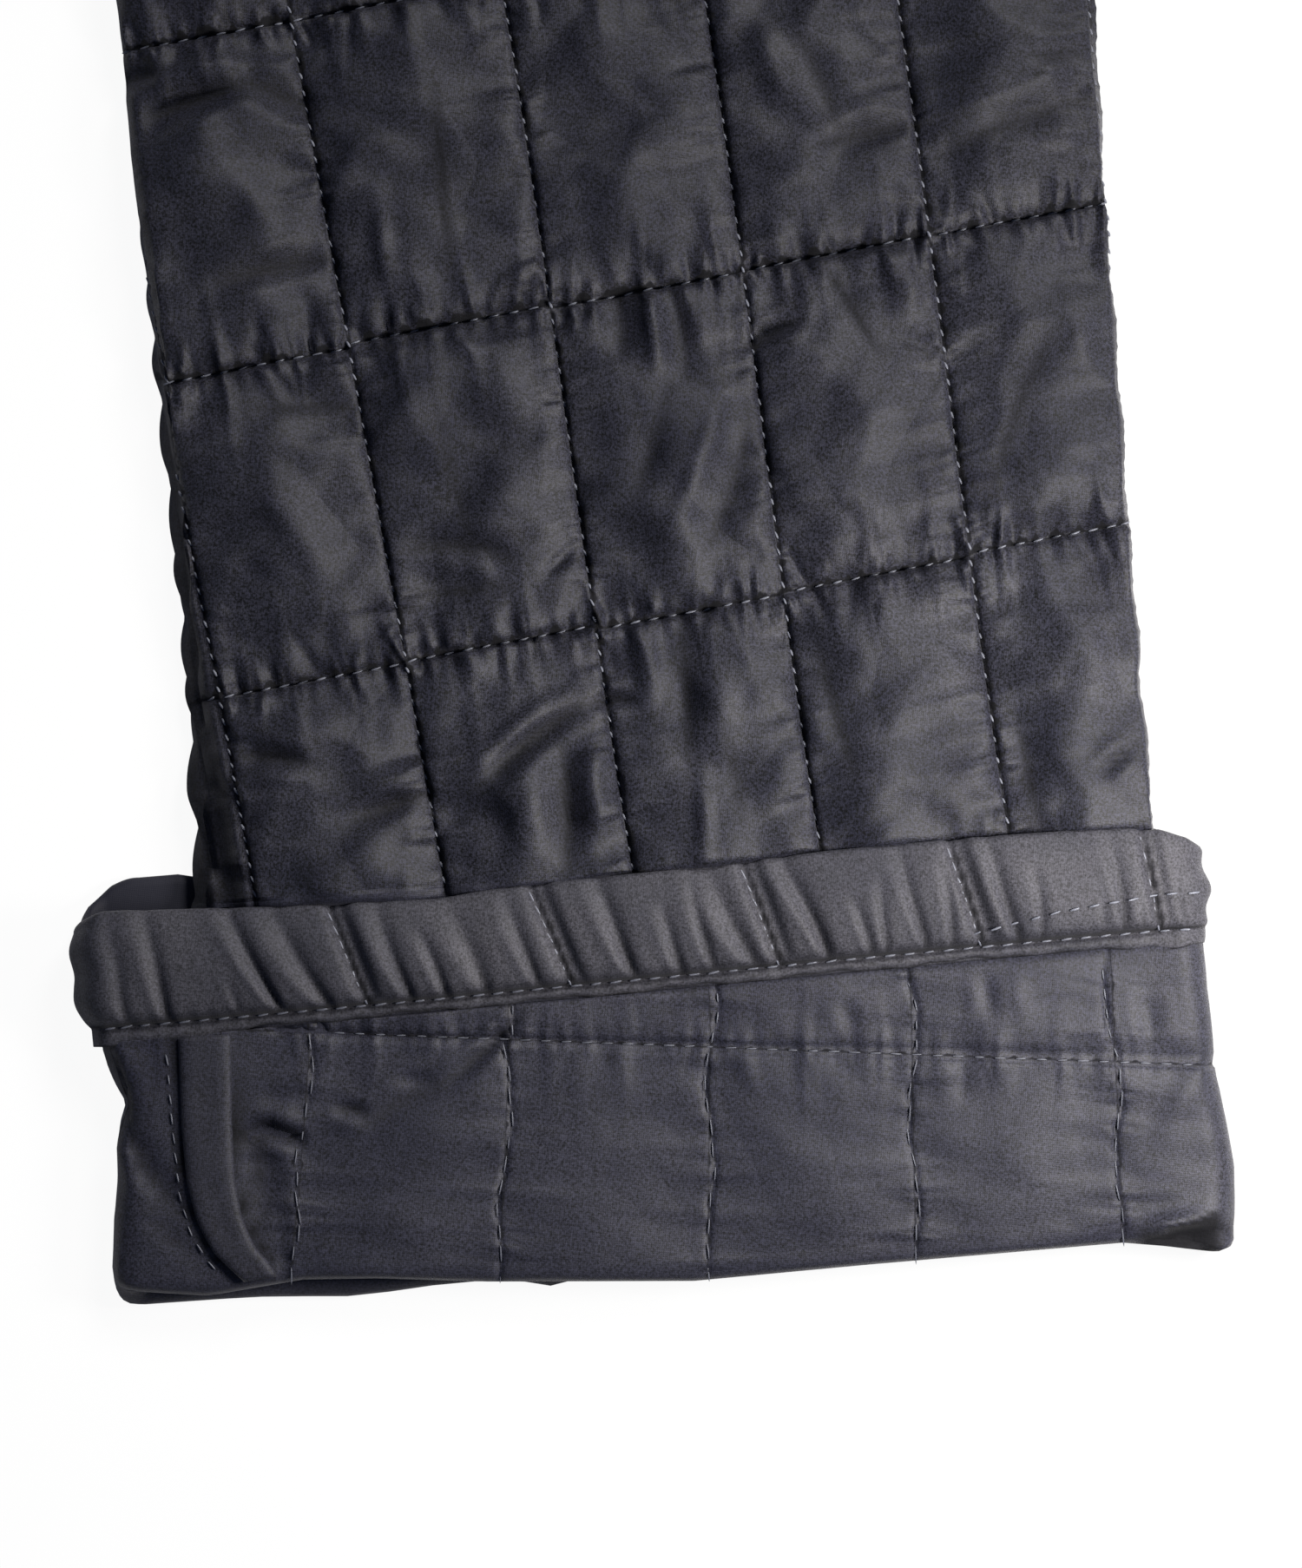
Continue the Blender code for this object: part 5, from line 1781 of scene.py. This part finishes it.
def mottle_group():
    """Soft colour variation between two tones, with rare pale specks of lint."""
    sockets = {
        "Place": "Vector",
        "Dark": "Color",
        "Light": "Color",
        "Patch size": "Float",
        "Lint": "Float",
        "Grain": "Float",
    }
    made = {"Colour": "Color", "Patches": "Float"}
    nodes, given, result = new_group("mottle", "Shader", sockets, made)
    place = given["Place"]
    patches = nodes.stretch(nodes.noise(place, given["Patch size"], 4.0, 0.55), 0.32, 0.68)
    tone = nodes.mix(patches, given["Dark"], given["Light"])
    darkest = nodes.math("SUBTRACT", 1.0, given["Grain"])
    lightest = nodes.math("ADD", 1.0, given["Grain"])
    grey = nodes.stretch(nodes.noise(place, 2900.0), 0.3, 0.7, darkest, lightest)
    speckled = nodes.mix(1.0, tone, grey, blend_type="MULTIPLY")
    cells = nodes.add("ShaderNodeTexVoronoi", {"Scale": 34.0, "Vector": place})
    near = nodes.math("LESS_THAN", cells.outputs["Distance"], 0.011)
    lint = nodes.times(near, given["Lint"])
    dusted = nodes.mix(lint, speckled, (0.22, 0.22, 0.24, 1.0))
    nodes.fill(result, {"Colour": dusted, "Patches": patches})
    return nodes.tree


def line_wrinkles(nodes, run, number, off, strength, width, narrow, wide):
    """The folds that run away from the stitched lines of one direction, and the painted shade of the tight
    crease beside each line.

    Run is the way along the line and off the way across it, in millimetres. Number tells the lines apart.
    """
    own = nodes.times(number, 7.3)
    swing = nodes.math("SINE", nodes.math("MULTIPLY_ADD", run, 0.53, own))
    swing = nodes.math("MULTIPLY_ADD", swing, 1.7, nodes.times(run, 0.19))
    groups = nodes.math("MULTIPLY_ADD", nodes.math("SINE", swing), 0.42, 0.56)
    slant = nodes.math("MULTIPLY_ADD", nodes.math("SINE", run), 0.12, nodes.math("DIVIDE", off, 9.0))
    folds = nodes.noise(nodes.place(nodes.math("DIVIDE", run, 2.7), slant, width), 1.0, 1.0)
    away = nodes.math("ABSOLUTE", off)
    reach = nodes.times(groups, -4.6)
    fading = nodes.math("POWER", math.e, nodes.math("DIVIDE", away, reach))
    folds = nodes.times(nodes.times(folds, fading), groups)
    rough = nodes.noise(nodes.place(nodes.math("DIVIDE", run, 1.7), own, width + 1.0), 1.0, 1.0)
    broad = nodes.times(nodes.ease(rough, 0.38, 0.72, narrow, wide), strength)
    half = nodes.times(broad, 0.5)
    middle = nodes.math("SUBTRACT", half, 0.1)
    from_middle = nodes.math("ABSOLUTE", nodes.math("SUBTRACT", off, middle))
    beyond = nodes.math("SUBTRACT", from_middle, half)
    # The second value is the painted shade beside the line.
    return folds, nodes.ease(beyond, -0.22, 0.2, 1.0, 0.0)


def wrinkle_group():
    """Fine wrinkles by their place in the quilting, and the painted shade of the tight creases along its
    stitched lines.
    """
    sockets = {"Place": "Vector", "Pinch": "Float", "Loose": "Float"}
    made = {"Height": "Float", "Painted shade": "Float"}
    nodes, given, result = new_group("quilt_wrinkles", "Shader", sockets, made)
    parts = nodes.add("ShaderNodeSeparateXYZ", {"Vector": given["Place"]}).outputs
    strength = parts["Z"]
    heights, creases = [], []
    directions = (
        # along a line, across it, the boxes' length and width, the painted crease shade's narrowest and
        # widest
        ("X", "Y", COLUMN, ROW, 0.2, 1.45),
        ("Y", "X", ROW, COLUMN, 0.15, 1.1),
    )
    for line, side, length, width, narrow, wide in directions:
        run = nodes.times(parts[line], length)
        number = nodes.math("ROUND", parts[side])
        off = nodes.times(nodes.math("SUBTRACT", parts[side], number), width)
        folds, painted_crease_shade = line_wrinkles(nodes, run, number, off, strength, width, narrow, wide)
        heights.append(folds)
        creases.append(painted_crease_shade)
    pinched = nodes.times(nodes.math("ADD", *heights), given["Pinch"])
    size = (COLUMN / 10.0, ROW / 10.0, 0.0)
    place = nodes.vector("MULTIPLY", given["Place"], size)
    swapped = nodes.add("ShaderNodeVectorRotate", {"Vector": place, "Angle": 1.9}, rotation_type="Z_AXIS")
    waved = nodes.vector("SINE", swapped.outputs["Vector"])
    bent = nodes.vector("MULTIPLY_ADD", waved, (0.5, 0.5, 0.0), place)
    facets = nodes.add("ShaderNodeTexVoronoi", {"Scale": 0.8, "Vector": bent}).outputs["Distance"]
    ridges = nodes.noise(bent, 0.9, 1.0, 0.35, noise_type="RIDGED_MULTIFRACTAL")
    loose = nodes.times(nodes.math("MULTIPLY_ADD", facets, -1.3, ridges), given["Loose"])
    height = nodes.times(nodes.math("ADD", pinched, loose), strength)
    shown = nodes.ease(strength, 0.0, 0.4, 0.0, 1.0)
    # Painted shade of the tight creases, shown only where the wrinkles are strong.
    painted_crease_shade = nodes.times(nodes.math("MAXIMUM", *creases), shown)
    nodes.fill(result, {"Height": height, "Painted shade": painted_crease_shade})
    return nodes.tree


WEAVE = weave_group()
WRINKLES = wrinkle_group()
MOTTLE = mottle_group()
# The near-black colour of the painted shade in creases and tight valleys.
PAINTED_SHADE_COLOUR = (0.0006, 0.0006, 0.0013, 1.0)


def new_finish(name):
    """A material with its nodes, its shader and the place in the object."""
    made = bpy.data.materials.new(name)
    made.use_nodes = True
    nodes = Nodes(made.node_tree)
    place = nodes.add("ShaderNodeTexCoord").outputs["Object"]
    return made, nodes, made.node_tree.nodes["Principled BSDF"], place


def cloth_finish(name, dark, light, roughness, turned=0.0, crinkle=0.6, lint=1.0, grain=0.75, pinch=0.0,
                 loose=0.0, inner=None):
    """Woven nylon with its threads turned to lie along the piece.

    Pinch and loose are the fine wrinkles' heights, at the stitching and between it. Inner is the tone of an
    inner side.
    """
    made, nodes, shader, place = new_finish(name)
    turn = nodes.add("ShaderNodeMapping", {"Vector": place, "Rotation": (0.0, 0.0, turned)}).outputs["Vector"]
    tone = {
        "Place": turn,
        "Dark": (*dark, 1.0),
        "Light": (*light, 1.0),
        "Patch size": 45.0,
        "Lint": lint,
        "Grain": grain,
    }
    held = nodes.add("ShaderNodeAttribute", attribute_name="quilt_place").outputs["Vector"]
    parts = nodes.add("ShaderNodeSeparateXYZ", {"Vector": held}).outputs
    wrinkled = pinch > 0.0
    if wrinkled:
        tone["Grain"] = nodes.math("MULTIPLY_ADD", parts["Z"], 0.6, 0.65)
    tone = nodes.add("ShaderNodeGroup", tone, node_tree=MOTTLE).outputs
    colour = tone["Colour"]
    spread = nodes.stretch(tone["Patches"], 0.0, 1.0, roughness + 0.03, roughness - 0.03)
    woven = {"Place": turn, "Threads per metre": 3200.0, "Crinkle": crinkle}
    weave = nodes.add("ShaderNodeGroup", woven, node_tree=WEAVE).outputs["Height"]
    relief = {"Strength": 0.8, "Distance": 0.00004, "Height": weave}
    if inner is not None:
        colour = nodes.mix(parts["X"], colour, (*inner, 1.0))
    # Painted shade: where the points' shade or the tight creases along the stitching are dark, the colour is
    # mixed towards near black and the cloth made rougher.
    if wrinkled or inner is not None:
        painted_crease_shade = nodes.add("ShaderNodeAttribute", attribute_name="quilt_shade").outputs["Fac"]
        if wrinkled:
            given = {"Place": held, "Pinch": pinch, "Loose": loose}
            wrinkles = nodes.add("ShaderNodeGroup", given, node_tree=WRINKLES).outputs
            painted_crease_shade = nodes.math("MAXIMUM", painted_crease_shade, nodes.times(wrinkles["Painted shade"], 0.88))
            scale = nodes.math("MULTIPLY_ADD", parts["Z"], -0.36, 1.23)
            scaled = nodes.add("ShaderNodeVectorMath", {0: colour, "Scale": scale}, operation="SCALE")
            colour = scaled.outputs["Vector"]
            folds = {"Distance": 0.001, "Height": wrinkles["Height"]}
            relief["Normal"] = nodes.add("ShaderNodeBump", folds).outputs["Normal"]
        colour = nodes.mix(painted_crease_shade, colour, PAINTED_SHADE_COLOUR)
        spread = nodes.math("MULTIPLY_ADD", painted_crease_shade, 0.4, spread)
    look = {
        "Base Color": colour,
        "Roughness": spread,
        "Normal": nodes.add("ShaderNodeBump", relief).outputs["Normal"],
        "Specular IOR Level": 0.3,
        "Sheen Weight": 0.05,
        "Sheen Roughness": 0.45,
        "Sheen Tint": (0.62, 0.62, 0.7, 1.0),
    }
    nodes.fill(shader, look)
    return made


def plain_finish(name, colour, roughness, metallic=0.0, coat=0.0, scale=700.0, bump=0.00002, spread=0.25):
    """A finish with a fine grain and a faint change of tone."""
    made, nodes, shader, place = new_finish(name)
    grain = nodes.noise(place, scale, 3.0)
    low, high = ((*(value * share for value in colour), 1.0) for share in (1.0 - spread, 1.0 + spread))
    look = {
        "Base Color": nodes.mix(grain, low, high),
        "Normal": nodes.add("ShaderNodeBump", {"Distance": bump, "Height": grain}).outputs["Normal"],
        "Roughness": roughness,
        "Metallic": metallic,
        "Coat Weight": coat,
    }
    nodes.fill(shader, look)
    return made


# ---------------------------------------------------------------- light, floor and camera


SKY = 0.15
LAMPS = (
    # name, right, up, high, size, power, colour
    ("window", 0.95, 1.35, 1.35, 0.7, 44.0, (1.0, 0.97, 0.93)),
    ("lamp", 0.128, -0.022, 0.125, 0.06, 0.62, (1.0, 0.96, 0.91)),
)
PAPER_GLOW = 0.94
CAMERA_TURN = math.radians(4.0)
CAMERA_RIGHT = -3.185
CAMERA_UP = 71.34
LENS = 85.0
SENSOR = 36.0
FRAME_HEIGHT = 230.06


def mix_for_camera(tree, seen_share, lit, seen, output):
    """Shows the camera one surface or sky and everything else another."""
    nodes = Nodes(tree)
    factor = nodes.add("ShaderNodeLightPath").outputs["Is Camera Ray"]
    if seen_share < 1.0:
        factor = nodes.times(factor, seen_share)
    mix = nodes.add("ShaderNodeMixShader", {0: factor, 1: lit, 2: seen})
    tree.links.new(mix.outputs["Shader"], tree.nodes[output].inputs["Surface"])


def set_sky():
    """A pale blue sky that lights the jacket, and white where the camera sees it."""
    scene = bpy.context.scene
    scene.view_settings.view_transform = "Standard"
    scene.world = bpy.data.worlds.new("studio")
    scene.world.use_nodes = True
    tree = scene.world.node_tree
    sky = tree.nodes["Background"]
    Nodes(tree).fill(sky, {"Color": (0.52, 0.64, 1.0, 1.0), "Strength": SKY})
    seen = Nodes(tree).add("ShaderNodeBackground", {"Strength": 1.0}).outputs["Background"]
    mix_for_camera(tree, 1.0, sky.outputs["Background"], seen, "World Output")


def set_lamps():
    """One large soft light from the cuff's upper right and a small one close by."""
    aim, across, up = cuff_view()
    for name, right, along_up, high, size, power, colour in LAMPS:
        lamp = bpy.data.lights.new(name, "AREA")
        lamp.shape = "DISK"
        lamp.size = size
        lamp.energy = power
        lamp.color = colour
        held = put_in_scene(name, lamp)
        held.location = aim + across * right + up * along_up + Vector((0.0, 0.0, high))
        held.rotation_euler = (aim - held.location).to_track_quat("-Z", "Y").to_euler()
        held.visible_camera = False


def set_floor():
    """A pale floor, which the camera sees as evenly lit paper with only a share of its shadows."""
    bm = bmesh.new()
    bmesh.ops.create_grid(bm, x_segments=1, y_segments=1, size=4.0)
    mesh = bpy.data.meshes.new("floor")
    bm.to_mesh(mesh)
    bm.free()
    paper = plain_finish("floor_paper", (0.9, 0.9, 0.9), 0.95, scale=40.0, spread=0.01)
    tree = paper.node_tree
    glow = Nodes(tree).add("ShaderNodeEmission").outputs["Emission"]
    mix_for_camera(tree, PAPER_GLOW, tree.nodes["Principled BSDF"].outputs["BSDF"], glow, "Material Output")
    floor = add_piece("floor", mesh, paper)
    floor.location.z = -0.0002


def cuff_view():
    """The point that the camera looks down at, and its directions right and up."""
    corner, across, up = sleeve_axes()
    right = math.cos(CAMERA_TURN) * across - math.sin(CAMERA_TURN) * up
    above = math.sin(CAMERA_TURN) * across + math.cos(CAMERA_TURN) * up
    point = corner + right * CAMERA_RIGHT + above * CAMERA_UP
    place = Vector((point[0] * MM, (point[1] - MIDDLE_Y) * MM, 0.005))
    return place, Vector((*right, 0.0)), Vector((*above, 0.0))


def set_camera():
    """The camera looks straight down on the cuff of the left sleeve."""
    aim, across, up = cuff_view()
    camera = bpy.data.cameras.new("camera")
    camera.lens = LENS
    camera.sensor_width = SENSOR
    held = put_in_scene("camera", camera)
    distance = FRAME_HEIGHT * MM * LENS / SENSOR
    turn = Matrix((across, up, Vector((0.0, 0.0, 1.0)))).transposed().to_4x4()
    held.matrix_world = Matrix.Translation(aim + Vector((0.0, 0.0, distance))) @ turn
    bpy.context.scene.camera = held


# ---------------------------------------------------------------- the jacket


# The darker and the lighter tone of each cloth.
SHELL = (0.0092, 0.0096, 0.0172), (0.0160, 0.0161, 0.0242)
INSIDE = (0.0165, 0.0165, 0.0245), (0.0225, 0.0225, 0.031)
STRIP = (0.011, 0.0113, 0.0185), (0.016, 0.0162, 0.024)
BAND = (0.021, 0.0212, 0.029), (0.036, 0.0352, 0.043)
THREAD_COLOUR = (0.11, 0.116, 0.145)
CUFF_THREAD_COLOUR = (0.07, 0.074, 0.094)
SNAP_COLOUR = (0.03, 0.03, 0.036)


def add_cloth(piece, node):
    """Puts a cloth piece on the root and hides the part that it stands for."""
    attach(piece, "root")
    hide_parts(node)


def build_side(side, name, weave, hem_steps, front_seed, sides, body, binding):
    """One sleeve with its cuff, one front panel and its length of binding. Returns their stitched lines."""
    turned = side * (SLEEVE_ANGLE - math.pi / 2.0)
    shell = cloth_finish("nylon_sleeve_" + name, *SHELL, 0.6, turned, grain=0.9, pinch=2.4, loose=0.65)
    gathered = cloth_finish("nylon_hem_" + name, *BAND, 0.68, turned, crinkle=0.8, grain=0.65, inner=SHELL[0])
    allowance = cloth_finish("nylon_strip_" + name, *STRIP, 0.66, turned)
    sleeve = build_sleeve("sleeve_shell_" + name, side, weave, shell)
    add_cloth(sleeve, "sleeve_" + name)
    hem = build_hem("gathered_hem_" + name, side, hem_steps, gathered)
    add_cloth(hem, "cuff_hem_" + name)
    strip = build_strip("seam_allowance_" + name, side, allowance)
    add_cloth(strip, "cuff_seam_" + name)
    front = build_front("front_panel_" + name, side, front_seed, body)
    add_cloth(front, "front_" + name)
    heights, edge = (FRONT_FLOOR, FRONT_BINDING_TOP), PLACKET_HALF + SEAM_GAP
    neck = bound_strip("neck_strip_" + name, front_neck(60), BINDING_WIDTH, *heights, binding, side, edge)
    add_cloth(neck, "neck_binding_" + name)
    up, across = sleeve_seams(weave)
    cuff_down, cuff_across = cuff_seams(weave)
    return (
        # name, lines, in the sleeve's frame, stitch length, thread, slant, sides
        ("sewing_up_", up, True, 1.2, 0.45, 0.36, sides),
        ("sewing_rows_", across, True, 1.65, 0.4, 0.14, sides),
        ("sewing_cuff_down_", cuff_down, True, 2.7, 0.27, 0.03, sides),
        ("sewing_cuff_", cuff_across, True, 1.75, 0.28, 0.06, sides),
        ("sewing_hem_", hem_seams(), True, 1.8, 0.36, 0.08, sides),
        ("sewing_front_", front_seams(front_seed), False, 1.7, 0.36, 0.14, 4),
    )


def build_placket(binding):
    """The placket and the back's length of binding. Returns the placket's edge stitching."""
    neck = bound_strip("neck_strip_back", back_neck(120), BINDING_WIDTH, 0.0, BACK_THICKNESS, binding)
    add_cloth(neck, "neck_binding_back")
    top = FRONT_NECK_Y + BINDING_WIDTH
    fold = np.stack([np.full(240, -PLACKET_HALF - SEAM_GAP), np.linspace(0.0, top, 240)], -1)
    placket = bound_strip("placket_strip", fold, 2.0 * PLACKET_HALF, FRONT_FLOOR, PLACKET_TOP, binding)
    add_cloth(placket, "placket")
    y = np.arange(2.0, top - 2.0, STITCH_PITCH)
    z = np.full(len(y), PLACKET_TOP - 0.1)
    return [np.stack([np.full(len(y), x), y, z], -1) for x in (2.5 - PLACKET_HALF, PLACKET_HALF - 2.5)]


def build_jacket():
    tree = stitch_tree()
    thread = plain_finish("thread", THREAD_COLOUR, 0.5, scale=2500.0, bump=0.00003)
    cuff_thread = plain_finish("thread_cuff", CUFF_THREAD_COLOUR, 0.5, scale=2500.0, bump=0.00003)
    body = cloth_finish("nylon_body", *SHELL, 0.6, pinch=2.2, loose=0.8)
    binding = cloth_finish("nylon_binding", *SHELL, 0.6, lint=0.0)
    inside = cloth_finish("nylon_inside", *INSIDE, 0.66)
    enamel = plain_finish("snap_enamel", SNAP_COLOUR, 0.34, metallic=0.3, coat=0.4, bump=0.00001)
    back = build_back("back_panel", inside)
    add_cloth(back, "back")
    halves = (
        # side, name, weave, points round the hem, the front's seed, sides of a stitch
        (1, "left", Weave(NEAR_SEED, 48, 76, 8), 430, 2, 6),
        (-1, "right", Weave(5, 12, 24, 8), 190, 7, 4),
    )
    for side, name, *numbers in halves:
        sewing = build_side(side, name, *numbers, body, binding)
        for seed, (title, lines, in_sleeve, length, thick, slant, sides) in enumerate(sewing, 1):
            lines = [on_jacket(line, side, in_sleeve) for line in lines if len(line) > 1]
            cotton = cuff_thread if "cuff" in title else thread
            sew(title + name, lines, tree, cotton, length, thick, sides, seed, slant * side)
    edges = [on_jacket(edge, in_sleeve=False) for edge in build_placket(binding)]
    sew("sewing_placket", edges, tree, thread, 1.7, 0.3, 4, 9, 0.1)
    for place in range(SNAP_COUNT):
        snap = build_snap(f"snap_button_{place + 1}", SNAP_FIRST_Y + place * SNAP_STEP, enamel)
        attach(snap, "root")
        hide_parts(f"snap_{place + 1}")


set_camera()
set_sky()
set_lamps()
set_floor()
build_jacket()
